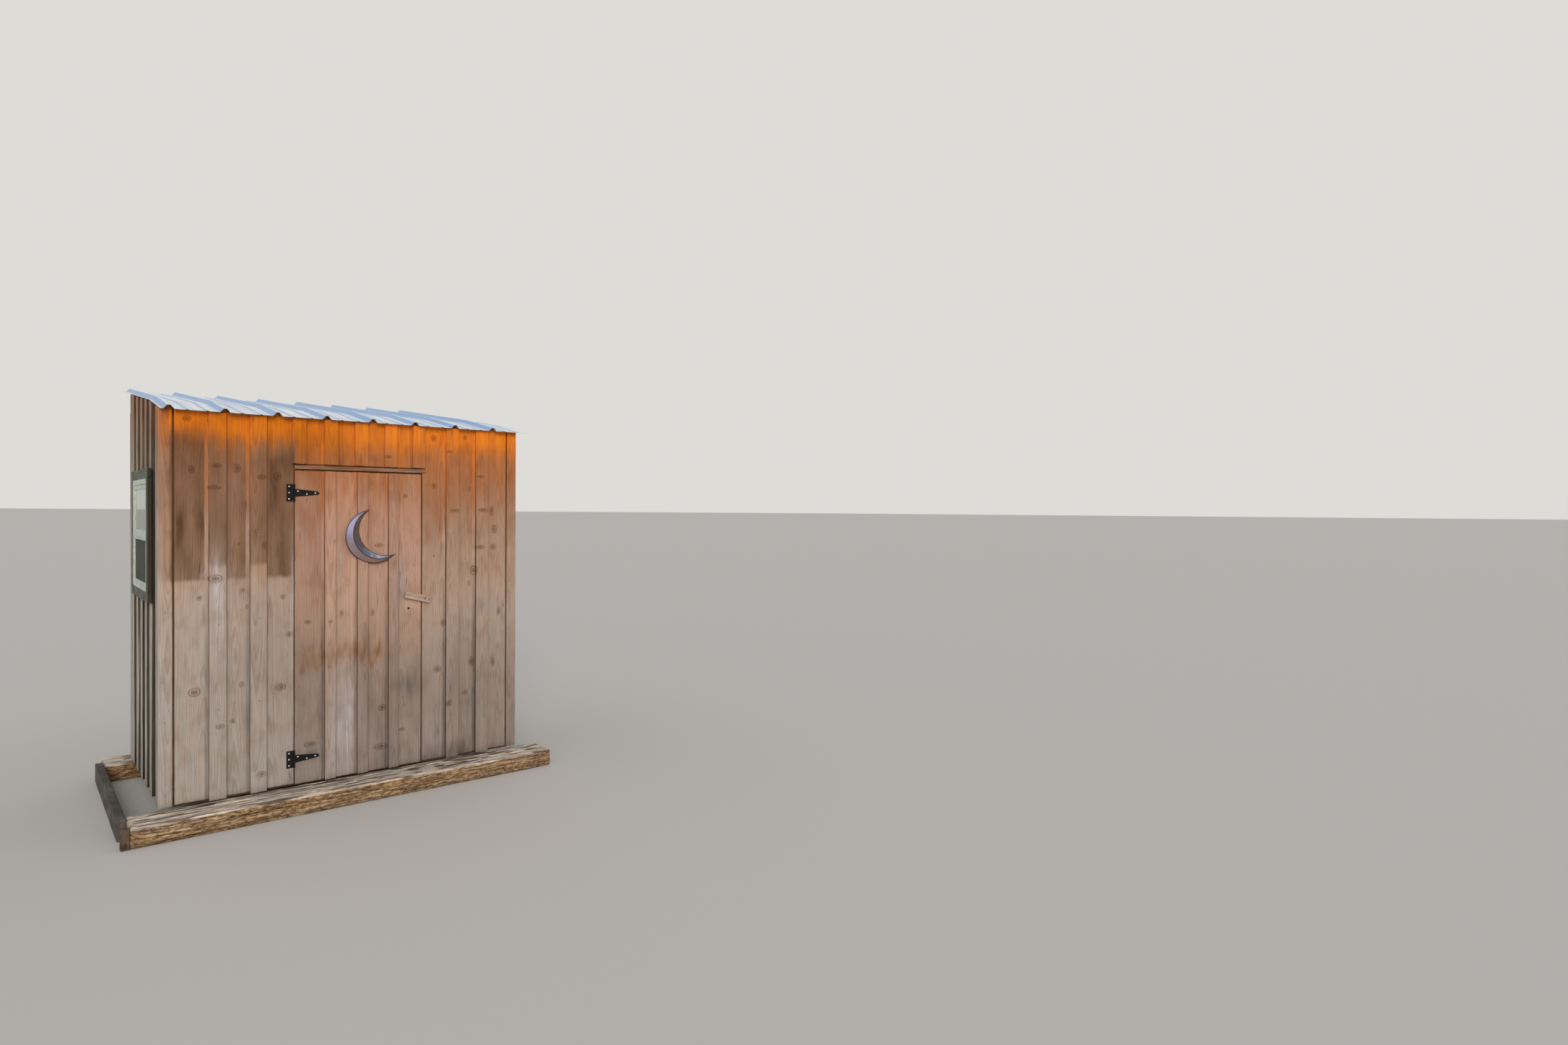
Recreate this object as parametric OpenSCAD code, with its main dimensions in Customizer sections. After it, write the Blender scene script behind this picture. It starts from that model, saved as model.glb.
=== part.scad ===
// Board-and-batten outhouse: a lean-to shed on two timber ties, with a ribbed metal roof.
// X runs left to right along the front, Y from the front to the back, Z up from the ground.
// All places are worked out from the outer front left corner of the shed, then centred.

/* [Shed] */
// Width over the corner trims
shed_w = 1830; // [1700:10:2100]
// Depth over the front and back boards
shed_d = 1200; // [1180:10:1500]
// Height of the rafters' top at the front framing, over the foot of the walls
eave_h = 1965; // [1900:5:2100]
// Gap between the ties and the foot of the walls
foot_gap = 5; // [2:1:12]
// Slope of the rafters and of the roof behind its first purlin, in degrees
roof_pitch = 7.5; // [6:0.1:11]

/* [Siding] */
// Thickness of the wall boards
board_t = 19; // [16:1:22]
// Thickness of the battens and corner trims
batten_t = 19; // [16:1:22]
// Width of a wall batten
batten_w = 76; // [60:1:90]
// Spacing of the battens on the front and back
board_pitch = 179; // [150:1:190]
// Spacing of the battens on the side walls
side_pitch = 190; // [170:1:200]
// Open joint between two boards under a batten
board_joint = 2; // [1:0.5:4]
// Face width of a corner trim on the front and back
trim_w = 58; // [50:1:70]
// Open gap between such a trim and the next board
trim_gap = 8; // [4:1:12]
// Face width of a corner trim on the sides
side_trim_w = 80; // [60:1:82]
// Last joint of the front, from its right end
right_joint = 222; // [200:1:240]
// Narrowest board left where a wall's spacing ends
board_least = 100; // [60:5:140]
// How far the boards stop above the foot of the battens
board_lift = 8; // [4:1:14]
// Air left between the top of the walls and the roof sheets
wall_top_gap = 3; // [1:1:8]

/* [Framing] */
// Thickness of the framing lumber
lumber_t = 38; // [35:1:45]
// Depth of the framing lumber
lumber_d = 89; // [80:1:100]
// Thickness of the floor boards and purlins
deck_t = 19; // [16:1:25]
// Width of a purlin
purlin_w = 89; // [70:1:100]
// Middle of the first purlin behind the front of the shed
first_purlin = 350; // [300:5:420]

/* [Base] */
// Width of a tie
tie_w = 229; // [200:1:260]
// Height of a tie above the ground
tie_h = 110; // [90:1:150]
// How far a tie stands out from the wall
tie_out = 175; // [150:1:190]
// How far the ties run past the left wall
tie_left = 127; // [100:1:160]
// How far the ties run past the right wall
tie_right = 155; // [120:1:190]
// Worn corner of a tie
tie_worn = 12; // [6:1:20]
// Thickness of the plank on the left
plank_t = 38; // [30:1:45]
// Height of the plank on the left
plank_h = 105; // [80:1:105]
// Front end of that plank, before the wall
plank_out = 20; // [0:5:60]
// Side of the square stake at the front left end
stake_s = 36; // [25:1:38]
// Height of the stake
stake_h = 100; // [60:1:105]

/* [Door] */
// Wall edge on the hinge side, from the left end of the front
door_x = 590; // [560:1:620]
// Width of the door
door_w = 656; // [600:1:700]
// Height of the rafters' top at the front over the door's top
over_door = 288; // [240:1:320]
// Height of the door's foot over the foot of the walls
door_foot = 3; // [2:1:20]
// Thickness of the door's boards
door_t = 14; // [12:1:16]
// Gap at the door's hinge edge
hinge_gap = 5; // [5:0.5:8]
// Gap at the door's latch edge
latch_gap = 7; // [5:0.5:10]
// Gap between the door and the framing behind it
door_back_gap = 5; // [5:0.5:7]
// Width of the door's first board
door_first = 170; // [150:1:180]
// Width of the door's last board
door_last = 157; // [140:1:180]
// Width of a door batten
door_batten_w = 55; // [45:1:70]
// Thickness of a door batten
door_batten_t = 19; // [12:1:20]
// How far the framing stands behind the door's edges
rebate = 12; // [8:1:16]
// Width of a ledge across the back of the door
ledge_w = 89; // [70:1:110]
// Thickness of a ledge
ledge_t = 19; // [16:1:25]
// Height of the lowest ledge's middle over the foot of the walls
ledge_low = 158; // [155:1:200]
// Height of the middle ledge
ledge_mid = 850; // [700:5:950]
// Height of the strip over the door
strip_h = 22; // [12:1:24]
// How far the strip stands out from the boards
strip_t = 6; // [3:1:12]
// Gap between the door's top and the strip
strip_gap = 7; // [6:1:14]
// Middle of the outer battens over the door, in from the doorway's edges
over_inset = 24; // [10:1:32]
// Width of a batten over the door
over_batten_w = 68; // [50:1:76]

/* [Hinges] */
// Height of the lower hinge over the foot of the walls
hinge_low = 140; // [120:1:200]
// Middle of the upper hinge, under the door's top
hinge_drop = 120; // [80:1:200]
// Height of the wall leaf
leaf_h = 92; // [75:1:110]
// Width of the wall leaf
leaf_w = 37; // [30:1:45]
// Length of the strap from the pin
strap_l = 120; // [90:1:130]
// Height of the strap at the pin
strap_h = 41; // [30:1:50]
// Radius of the strap's round tip
strap_tip_r = 9.5; // [5:0.5:10]
// Thickness of the leaf and the strap
hinge_t = 1.6; // [1.5:0.1:2.3]
// Outer radius of the knuckles
knuckle_r = 3.6; // [3:0.1:4]
// Radius of the hinge pin
pin_r = 2; // [1.2:0.1:2.2]

/* [Crescent] */
// Radius of the outer edge
moon_r = 151; // [130:0.5:170]
// Radius of the inner edge
moon_in_r = 143; // [120:0.5:160]
// Distance between the middles of the two edges
moon_shift = 70; // [60:1:90]
// Tilt of the crescent's open side, in degrees
moon_tilt = 29; // [0:1:45]
// Height of the ridge over the edges
moon_h = 20; // [15:1:30]
// Thickness of the formed metal
moon_t = 2; // [1:0.5:3]
// Middle of the outer edge, from the door's hinge edge
moon_x = 395; // [370:1:420]
// Middle of the outer edge, under the door's top
moon_drop = 355; // [300:1:450]

/* [Turn button] */
// Length of the button beyond the screw
button_long = 127; // [90:1:130]
// Length of the button on the other side of the screw
button_short = 24; // [15:1:26]
// Width of the button
button_w = 40; // [30:1:44]
// Thickness of the button
button_t = 19; // [10:1:20]
// Tilt of the button at rest, in degrees
button_tilt = 14.5; // [0:0.5:30]
// Height of the screw over the foot of the walls
button_z = 953; // [850:1:1050]
// Place of the screw, from the door's latch edge
button_x = 27; // [27:1:35]
// Radius of the screw
screw_r = 2.4; // [2:0.1:3]
// Radius of the screw's head
screw_head_r = 5; // [4:0.1:7]
// Space between the wall and the button
button_stand = 5; // [5:0.5:8]

/* [Window] */
// Middle of the window, from the front of the shed
win_mid = 575; // [560:1:620]
// Width of the opening
win_w = 580; // [500:1:600]
// Height of the rafters' top at the front over the opening
win_drop = 342; // [300:1:420]
// Height of the opening
win_h = 582; // [500:1:600]
// Height of the meeting rail's foot over the foot of the opening
rail_z = 273; // [230:1:290]
// Height of the meeting rail
rail_h = 40; // [30:1:50]
// Width of the casing's top and bottom boards
casing_w = 50; // [40:1:60]
// Width of the casing's upright boards
stile_w = 65; // [40:1:75]
// Thickness of the casing boards
casing_t = 19; // [16:1:22]
// Width of the white frame's bars
frame_w = 28; // [20:1:35]
// Width of the sashes' bars
sash_w = 25; // [18:1:30]
// Thickness of a sash
sash_t = 18; // [14:1:20]
// Thickness of the glass
glass_t = 4; // [3:0.5:6]
// Width of the screen's frame
screen_w = 12; // [8:1:16]
// Thickness of the insect screen
screen_t = 1; // [0.6:0.1:2]
// Clearance round the window's pieces
win_fit = 0.5; // [0.2:0.1:0.8]

/* [Roof sheets] */
// How far the sheets stand out over the front
eave_out = 50; // [30:1:90]
// How far the sheets stand out over the back
back_out = 400; // [200:5:420]
// How far the left sheet starts from the left end of the front
sheet_left = 3; // [-20:1:10]
// How far the right sheet runs past the right wall
sheet_right = 50; // [20:1:90]
// Thickness of the sheet metal
sheet_t = 1; // [0.8:0.1:2]
// Middle of the first rib
first_rib = 39; // [36:1:45]
// Spacing of the ribs of the left sheet
rib_pitch = 233.5; // [225:0.5:235]
// Spacing of the ribs of the right sheet
right_pitch = 228.5; // [225:0.5:235]
// Height of a rib
rib_h = 19; // [12:1:25]
// Width of a rib at its foot
rib_foot = 45; // [38:1:50]
// Width of a rib's flat top
rib_top = 13; // [8:1:20]
// Height of the small beads between the ribs
bead_h = 3; // [2:0.5:5]
// Width of a bead at its foot
bead_foot = 14; // [10:1:18]
// Width of a bead's top
bead_top = 5; // [3:1:8]
// Distance between the two beads of a flat
bead_gap = 84; // [60:1:100]
// Clearance between the lapped ribs
lap_fit = 0.3; // [0.1:0.1:0.5]

/* [Hidden] */
// Clearance of a round bore over its pin or screw
bore_fit = 0.05;
// Small running gap between pieces that turn against each other
turn_gap = 0.3;
// Clearance where sloping pieces seat on each other
seat_fit = 0.2;
// How far the two runs of a roof sheet pass through each other at the bend, to fuse
bend_lap = 0.5;
// Segments of a round hole or pin, and of the crescent's edges
round_n = 32;
moon_n = 96;
// Overshoot of a cutting solid past the face that it cuts
cut = 10;

// Heights of the base and walls
foot_z = tie_h + foot_gap;
deck_z = tie_h + lumber_d;
floor_z = deck_z + deck_t;
stud_z = floor_z + lumber_t;

// Faces of the side walls' boards and framing, in from the shed's sides
board_in = batten_t;
frame_in = batten_t + board_t;
wall_in = frame_in + lumber_d;

// Faces of the framing of the front and back, in from the boards' faces
frame_y = board_t;
wall_y = frame_y + lumber_d;

// Roof: the rafters run straight, and the sheets bend down from the first purlin to the eave
pitch_run = tan(roof_pitch);
lumber_rise = lumber_d / cos(roof_pitch);
purlin_rise = deck_t / cos(roof_pitch);
kink_z = rafter_z(first_purlin) + purlin_rise + 2 * seat_fit;
eave_run = (kink_z - rafter_z(frame_y) - turn_gap) / (first_purlin - frame_y);
eave_pitch = atan(eave_run);
roof_y0 = -eave_out;
roof_y1 = shed_d + back_out;
sheet_past = 45;
rafter_end = roof_y1 - sheet_past;
rafter_step = (shed_w - 2 * frame_in - lumber_t) / 3;
function rafter_x(i) = frame_in + i * rafter_step;
purlin_step = (rafter_end - purlin_w / 2 - first_purlin) / 3;
function rafter_z(y) = foot_z + eave_h + (y - frame_y) * pitch_run;
function roof_z(y) = y < first_purlin
  ? kink_z - (first_purlin - y) * eave_run
  : kink_z + (y - first_purlin) * pitch_run;

// Plates: the front one is lower than the back one
seat = 12;
front_plate_z = rafter_z(frame_y) - lumber_rise + seat;
back_plate_z = rafter_z(shed_d - wall_y) - lumber_rise + seat;
back_top_z = rafter_z(shed_d - board_t) - lumber_rise - turn_gap;

// Doorway
door_left = door_x + hinge_gap;
door_right = door_left + door_w;
wall_restart = door_right + latch_gap;
door_top = eave_h - over_door;
door_z0 = foot_z + door_foot;
door_z1 = foot_z + door_top;
door_y = frame_y - door_back_gap - door_t;
door_batten_y = door_y - door_batten_t;
jamb_left = door_left + rebate;
jamb_right = door_right - rebate;
door_pitch = (door_w - door_first - door_last) / 2;
strip_z = door_z1 + strip_gap;
strip_top_gap = 4;
over_z = strip_z + strip_h + strip_top_gap;
header_z = door_z1 - rebate;

// Hinges
pin_x = door_x + hinge_gap / 2;
pin_y = -knuckle_r;
hinges = [hinge_low, door_top - hinge_drop];
leaf_knuckle = (leaf_h - strap_h) / 2;
strap_root = 12;
pin_head = 0.8;

// Turn button
screw_x = door_right + button_x;
button_y1 = -button_stand;
button_y0 = button_y1 - button_t;
washer_r = 9;
screw_head_h = 3;
screw_top_r = 3;

// Crescent: both bevels rise at the same slope, so the ridge lies midway
moon_width = moon_r + moon_shift - moon_in_r;
moon_slope = moon_h / (moon_width / 2);
moon_cut = 1;

// Window
win_y0 = win_mid - win_w / 2;
win_y1 = win_mid + win_w / 2;
win_z1 = foot_z + eave_h - win_drop;
win_z0 = win_z1 - win_h;
frame_out = 17;
frame_back = 22;
sash_set = 3;
glass_set = 4;
sash_gap = 2;
sash_out_x = sash_set - frame_out;
sash_in_x = sash_out_x + sash_t + sash_gap;
pane_y0 = win_y0 + win_fit + frame_w;
pane_y1 = win_y1 - win_fit - frame_w;
pane_z0 = win_z0 + win_fit + frame_w;
pane_z1 = win_z1 - win_fit - frame_w;
meet_z = win_z0 + rail_z;

// Walls: joints between the boards lie in the middle of the battens, as many as there is room for
function count(room, pitch) = floor((room - board_least) / pitch);
boards_start = trim_w + trim_gap;
boards_end = shed_w - boards_start;
left_count = count(door_x - boards_start, board_pitch);
right_count = count(shed_w - right_joint - wall_restart, board_pitch);
back_count = count(boards_end - shed_w / 2, board_pitch);
left_joints = [for (i = [1:left_count]) boards_start + i * board_pitch];
right_joints = [for (i = [right_count:-1:0]) shed_w - right_joint - i * board_pitch];
door_joints = [for (i = [0:2]) door_left + door_first + i * door_pitch];
over_step = (wall_restart - door_x - 2 * over_inset) / 4;
over_mids = [for (i = [0:4]) door_x + over_inset + i * over_step];
back_joints = [for (i = [-back_count:back_count]) shed_w / 2 + i * board_pitch];

// Side walls: two battens beside the middle of the window, and the others at the same spacing
side_gap = 1;
side_start = frame_y + side_trim_w + trim_gap + batten_w / 2;
side_end = shed_d - side_start;
side_before = floor((win_mid - side_start) / side_pitch - 0.5);
side_after = floor((side_end - win_mid) / side_pitch - 0.5);
side_joints = [for (i = [-side_before:side_after + 1]) win_mid + (i - 0.5) * side_pitch];

// Roof sheets
roof_x0 = sheet_left;
roof_x1 = shed_w + sheet_right;
lap_rib = 4;
lap_foot = 4;
last_rib = lap_rib + ceil((roof_x1 - first_rib - lap_rib * rib_pitch) / right_pitch);
function rib_x(n) = first_rib + min(n, lap_rib) * rib_pitch + max(n - lap_rib, 0) * right_pitch;
function fold(c, foot, top, h, lift) = [
  [c - foot / 2, lift],
  [c - top / 2, lift + h],
  [c + top / 2, lift + h],
  [c + foot / 2, lift]
];
function rib(n, lift) = fold(rib_x(n), rib_foot, rib_top, rib_h, lift);
function beads(n) = [
  for (side = [-1, 1])
    fold((rib_x(n) + rib_x(n + 1) + side * bead_gap) / 2, bead_foot, bead_top, bead_h, 0)
];
function folds(first, last) = [for (n = [first:last]) each concat([rib(n, 0)], beads(n))];
lap_lift = sheet_t + lap_fit;
left_line = concat(
  [[roof_x0, 0]],
  [for (f = folds(0, lap_rib - 1)) each f],
  rib(lap_rib, 0)
);
right_line = concat(
  rib(lap_rib, lap_lift),
  [[rib_x(lap_rib) + rib_foot / 2 + lap_foot, 0]],
  [for (f = concat(beads(lap_rib), folds(lap_rib + 1, last_rib)))
    if (f[3][0] < roof_x1 - lap_foot) each f],
  [[roof_x1, 0]]
);

// The whole model is centred on its bounding box, with the ground at zero
mid_x = (shed_w + tie_right - tie_left - plank_t) / 2;
mid_y = (roof_y1 - tie_out) / 2;

// A box given by its lowest and highest corners
module block(low, high) {
  translate(low) cube(high - low);
}

// An outline in the front view (X, Z), pushed back from y0 to y1
module front_plate(y0, y1) {
  translate([0, y1, 0]) rotate([90, 0, 0]) linear_extrude(y1 - y0) children();
}

// An outline in the side view (Y, Z), pushed right from x0 to x1
module side_plate(x0, x1) {
  translate([x0, 0, 0]) rotate([90, 0, 90]) linear_extrude(x1 - x0) children();
}

// Everything under a line that follows the roof sheets at a distance
module under_roof(gap) {
  side_plate(-cut, shed_w + cut) polygon([
    [roof_y0, 0],
    [roof_y0, roof_z(roof_y0) - gap],
    [first_purlin, roof_z(first_purlin) - gap],
    [roof_y1, roof_z(roof_y1) - gap],
    [roof_y1, 0]
  ]);
}

// Everything under the rafters
module under_rafters() {
  side_plate(-cut, shed_w + cut) polygon([
    [0, 0],
    [0, rafter_z(0) - lumber_rise - seat_fit],
    [shed_d, rafter_z(shed_d) - lumber_rise - seat_fit],
    [shed_d, 0]
  ]);
}

module window_hole(x0, x1) {
  block([x0, win_y0, win_z0], [x1, win_y1, win_z1]);
}

// A rectangular ring in the side view, with bars of one width
module side_ring(x0, x1, low, high, bar) {
  difference() {
    block([x0, low[0], low[1]], [x1, high[0], high[1]]);
    block([x0 - cut, low[0] + bar, low[1] + bar], [x1 + cut, high[0] - bar, high[1] - bar]);
  }
}

// A row of boards across the front or back, open at the joints
module boards_x(edges, y0, z0, z1) {
  for (i = [0:len(edges) - 2])
    block(
      [edges[i] + (i > 0 ? board_joint / 2 : 0), y0, z0],
      [edges[i + 1] - (i < len(edges) - 2 ? board_joint / 2 : 0), y0 + board_t, z1]
    );
}

// A row of boards along a side wall
module boards_y(edges, x0, z0, z1) {
  for (i = [0:len(edges) - 2])
    block(
      [x0, edges[i] + (i > 0 ? board_joint / 2 : 0), z0],
      [x0 + board_t, edges[i + 1] - (i < len(edges) - 2 ? board_joint / 2 : 0), z1]
    );
}

// Base
module tie_section() {
  polygon([
    [0, 0],
    [0, tie_h - tie_worn],
    [tie_worn, tie_h],
    [tie_w - tie_worn, tie_h],
    [tie_w, tie_h - tie_worn],
    [tie_w, 0]
  ]);
}

module tie(y0) {
  color("tan")
    side_plate(-tie_left, shed_w + tie_right)
      translate([y0, 0]) tie_section();
}

module front_tie() {
  tie(-tie_out);
}

module back_tie() {
  tie(shed_d + tie_out - tie_w);
}

module side_plank() {
  color("dimgray")
    block([-tie_left - plank_t, -plank_out, 0], [-tie_left, shed_d + plank_out, plank_h]);
}

module corner_stake() {
  color("saddlebrown")
    block([-tie_left - stake_s, -tie_out, 0], [-tie_left, stake_s - tie_out, stake_h]);
}

// Floor
module floor_rims() {
  color("burlywood")
    for (y = [frame_y, shed_d - frame_y - lumber_t])
      block([frame_in, y, tie_h], [shed_w - frame_in, y + lumber_t, deck_z]);
}

module floor_joists() {
  step = (shed_w - 2 * frame_in - lumber_t) / 4;
  color("burlywood")
    for (i = [0:4])
      block(
        [frame_in + i * step, frame_y + lumber_t, tie_h],
        [frame_in + i * step + lumber_t, shed_d - frame_y - lumber_t, deck_z]
      );
}

module floor_deck() {
  color("tan")
    block([frame_in, frame_y, deck_z], [shed_w - frame_in, shed_d - frame_y, floor_z]);
}

// Frame
module sole_plates() {
  back_y = shed_d - wall_y;
  color("burlywood") {
    block([frame_in, frame_y, floor_z], [jamb_left, wall_y, stud_z]);
    block([jamb_right, frame_y, floor_z], [shed_w - frame_in, wall_y, stud_z]);
    block([frame_in, back_y, floor_z], [shed_w - frame_in, back_y + lumber_d, stud_z]);
    for (x = [frame_in, shed_w - wall_in])
      block([x, wall_y + win_fit, floor_z], [x + lumber_d, back_y - win_fit, stud_z]);
  }
}

module stud(x, y, deep_x, top) {
  size = deep_x ? [lumber_d, lumber_t] : [lumber_t, lumber_d];
  block([x, y, stud_z], [x + size[0], y + size[1], top]);
}

module studs() {
  front_x = [frame_in, jamb_left - lumber_t, jamb_right, shed_w - frame_in - lumber_t];
  back_x = [frame_in, shed_w / 2 - lumber_t / 2, shed_w - frame_in - lumber_t];
  color("burlywood") {
    for (x = front_x)
      stud(x, frame_y, false, front_plate_z - lumber_t);
    for (x = back_x)
      stud(x, shed_d - wall_y, false, back_plate_z - lumber_t);
    intersection() {
      for (x = [frame_in, shed_w - wall_in], y = [win_y0 - lumber_t, win_y1])
        stud(x, y, true, rafter_z(shed_d));
      under_rafters();
    }
  }
}

module top_plates() {
  color("burlywood") {
    block([frame_in, frame_y, front_plate_z - lumber_t],
      [shed_w - frame_in, wall_y, front_plate_z]);
    block([frame_in, shed_d - wall_y, back_plate_z - lumber_t],
      [shed_w - frame_in, shed_d - frame_y, back_plate_z]);
  }
}

module door_header() {
  color("burlywood")
    block([jamb_left, frame_y, header_z], [jamb_right, frame_y + lumber_t, header_z + lumber_d]);
}

module window_rails() {
  color("burlywood")
    for (z = [win_z0 - lumber_t, win_z1])
      block([frame_in, win_y0, z], [wall_in, win_y1, z + lumber_t]);
}

module rafters() {
  color("burlywood")
    for (i = [0:3])
      difference() {
        side_plate(rafter_x(i), rafter_x(i) + lumber_t) polygon([
          [frame_y, rafter_z(frame_y) - lumber_rise],
          [frame_y, rafter_z(frame_y)],
          [rafter_end, rafter_z(rafter_end)],
          [rafter_end, rafter_z(rafter_end) - lumber_rise]
        ]);
        block([0, 0, 0], [shed_w, wall_y, front_plate_z]);
        block([0, shed_d - wall_y, 0], [shed_w, shed_d - frame_y, back_plate_z]);
      }
}

// Blocks between the rafters, on the back plate
module eave_blocks() {
  y = shed_d - frame_y - lumber_t;
  color("burlywood")
    for (i = [0:2])
      block([rafter_x(i) + lumber_t, y, back_plate_z],
        [rafter_x(i + 1), y + lumber_t, rafter_z(y) - turn_gap]);
}

module purlins() {
  color("burlywood")
    for (i = [0:3]) {
      mid = first_purlin + i * purlin_step;
      y0 = i > 0 ? mid - purlin_w / 2 : mid;
      y1 = mid + purlin_w / 2;
      side_plate(frame_in, shed_w - frame_in) translate([0, seat_fit]) polygon([
        [y0, rafter_z(y0)],
        [y0, rafter_z(y0) + purlin_rise],
        [y1, rafter_z(y1) + purlin_rise],
        [y1, rafter_z(y1)]
      ]);
    }
}

// Siding
module front_wall_left() {
  color("sienna") intersection() {
    boards_x(concat([boards_start], left_joints, [door_x]), 0, foot_z + board_lift, kink_z);
    under_roof(wall_top_gap);
  }
}

module front_wall_right() {
  color("sienna") intersection() {
    boards_x(concat([wall_restart], right_joints, [boards_end]), 0,
      foot_z + board_lift, kink_z);
    under_roof(wall_top_gap);
  }
}

module front_wall_over_door() {
  color("peru") intersection() {
    boards_x(
      [door_x + board_joint, over_mids[1], over_mids[2], over_mids[3], wall_restart - board_joint],
      0, over_z, kink_z);
    under_roof(wall_top_gap);
  }
}

module side_boards(x0) {
  edges = concat([frame_y, frame_y + side_trim_w + side_gap], side_joints, [shed_d - frame_y]);
  intersection() {
    boards_y(edges, x0, foot_z + board_lift, roof_z(shed_d));
    under_roof(wall_top_gap);
  }
}

module left_wall() {
  color("rosybrown") difference() {
    side_boards(board_in);
    window_hole(0, frame_in + cut);
  }
}

module right_wall() {
  color("rosybrown") side_boards(shed_w - frame_in);
}

module back_wall() {
  edges = concat([boards_start], back_joints, [boards_end]);
  color("rosybrown")
    boards_x(edges, shed_d - board_t, foot_z + board_lift, back_top_z);
}

module front_batten(mid, width, z0) {
  block([mid - width / 2, -batten_t, z0], [mid + width / 2, 0, kink_z]);
}

module front_battens() {
  color("sienna") intersection() {
    union() {
      for (x = concat(left_joints, right_joints))
        front_batten(x, batten_w, foot_z);
      for (x = over_mids)
        front_batten(x, over_batten_w, over_z);
    }
    under_roof(wall_top_gap);
  }
}

module side_battens() {
  color("rosybrown") difference() {
    intersection() {
      for (x = [0, shed_w - batten_t], y = side_joints)
        block([x, y - batten_w / 2, foot_z], [x + batten_t, y + batten_w / 2, roof_z(shed_d)]);
      under_roof(wall_top_gap);
    }
    window_hole(-cut, frame_in);
  }
}

module back_battens() {
  color("rosybrown")
    for (x = back_joints)
      block([x - batten_w / 2, shed_d, foot_z], [x + batten_w / 2, shed_d + batten_t, back_top_z]);
}

module end_trims() {
  color("rosybrown")
    for (x = [0, shed_w - trim_w]) {
      intersection() {
        block([x, 0, foot_z], [x + trim_w, board_t, kink_z]);
        under_roof(wall_top_gap);
      }
      block([x, shed_d - board_t, foot_z], [x + trim_w, shed_d, back_top_z]);
    }
}

module side_trims() {
  color("silver") intersection() {
    for (x = [0, shed_w - batten_t], y = [frame_y, shed_d - frame_y - side_trim_w])
      block([x, y, foot_z], [x + batten_t, y + side_trim_w, roof_z(shed_d)]);
    under_roof(wall_top_gap);
  }
}

module header_strip() {
  color("rosybrown")
    block([door_x + board_joint, -strip_t, strip_z],
      [wall_restart + batten_t, 0, strip_z + strip_h]);
}

// Window
module casing_rails() {
  color("dimgray")
    for (z = [win_z0 - casing_w, win_z1])
      block([-casing_t, win_y0 - stile_w, z], [0, win_y1 + stile_w, z + casing_w]);
}

module casing_stiles() {
  color("dimgray")
    for (y = [win_y0 - stile_w, win_y1])
      block([-casing_t, y, win_z0], [0, y + stile_w, win_z1]);
}

module window_frame() {
  color("honeydew")
    side_ring(-frame_out, frame_in + frame_back, [win_y0 + win_fit, win_z0 + win_fit],
      [win_y1 - win_fit, win_z1 - win_fit], frame_w);
}

// One sash: a ring whose meeting rail is wider than its other bars
module sash(x, z0, z1, rail_up) {
  low = [pane_y0 + win_fit, z0];
  high = [pane_y1 - win_fit, z1];
  difference() {
    block([x, low[0], low[1]], [x + sash_t, high[0], high[1]]);
    block([x - cut, low[0] + sash_w, low[1] + (rail_up ? sash_w : rail_h)],
      [x + sash_t + cut, high[0] - sash_w, high[1] - (rail_up ? rail_h : sash_w)]);
  }
}

module window_sashes() {
  color("honeydew") {
    sash(sash_out_x, meet_z, pane_z1 - win_fit, false);
    sash(sash_in_x, pane_z0 + win_fit, meet_z + rail_h, true);
  }
}

module pane(x, z0, z1) {
  y0 = pane_y0 + win_fit + sash_w;
  y1 = pane_y1 - win_fit - sash_w;
  block([x + glass_set, y0, z0], [x + glass_set + glass_t, y1, z1]);
}

module window_glass() {
  color("lightcyan", 0.4) {
    pane(sash_out_x, meet_z + rail_h, pane_z1 - win_fit - sash_w);
    pane(sash_in_x, pane_z0 + win_fit + sash_w, meet_z);
  }
}

module screen_frame() {
  color("honeydew")
    side_ring(sash_out_x, sash_out_x + screen_w, [pane_y0 + win_fit, pane_z0 + win_fit],
      [pane_y1 - win_fit, meet_z - win_fit], screen_w);
}

module insect_screen() {
  inset = win_fit + screen_w;
  x = sash_out_x + glass_set;
  color("darkolivegreen")
    block([x, pane_y0 + inset, pane_z0 + inset],
      [x + screen_t, pane_y1 - inset, meet_z - inset]);
}

// Roof: one outline, run down to the eave and up to the back edge, mitred where it bends
module sheet_run(line, pitch, length) {
  outline = concat(line, [for (i = [len(line) - 1:-1:0]) line[i] + [0, sheet_t]]);
  rotate([pitch, 0, 0]) translate([0, cut, 0]) rotate([90, 0, 0])
    linear_extrude(length + cut) polygon(outline);
}

module ribbed_sheet(line) {
  bend = (eave_pitch + roof_pitch) / 2;
  reach = rib_h + 3 * cut;
  translate([0, first_purlin, kink_z]) {
    difference() {
      sheet_run(line, eave_pitch, (first_purlin - roof_y0) / cos(eave_pitch));
      rotate([bend, 0, 0]) block([-cut, bend_lap, -reach], [roof_x1 + cut, reach, reach]);
    }
    difference() {
      translate([roof_x1 + roof_x0, 0, 0]) rotate([0, 0, 180])
        sheet_run(
          [for (i = [len(line) - 1:-1:0]) [roof_x1 + roof_x0 - line[i][0], line[i][1]]],
          -roof_pitch, (roof_y1 - first_purlin) / cos(roof_pitch));
      rotate([bend, 0, 0]) block([-cut, -reach, -reach], [roof_x1 + cut, -bend_lap, reach]);
    }
  }
}

module roof_sheet_left() {
  color("lightsteelblue") ribbed_sheet(left_line);
}

module roof_sheet_right() {
  color("lightsteelblue") ribbed_sheet(right_line);
}

// Hinges
module tube(low, high) {
  translate([pin_x, pin_y, low]) difference() {
    cylinder(h = high - low, r = knuckle_r, $fn = round_n);
    translate([0, 0, -cut]) cylinder(h = high - low + 2 * cut, r = pin_r + bore_fit, $fn = round_n);
  }
}

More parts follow.
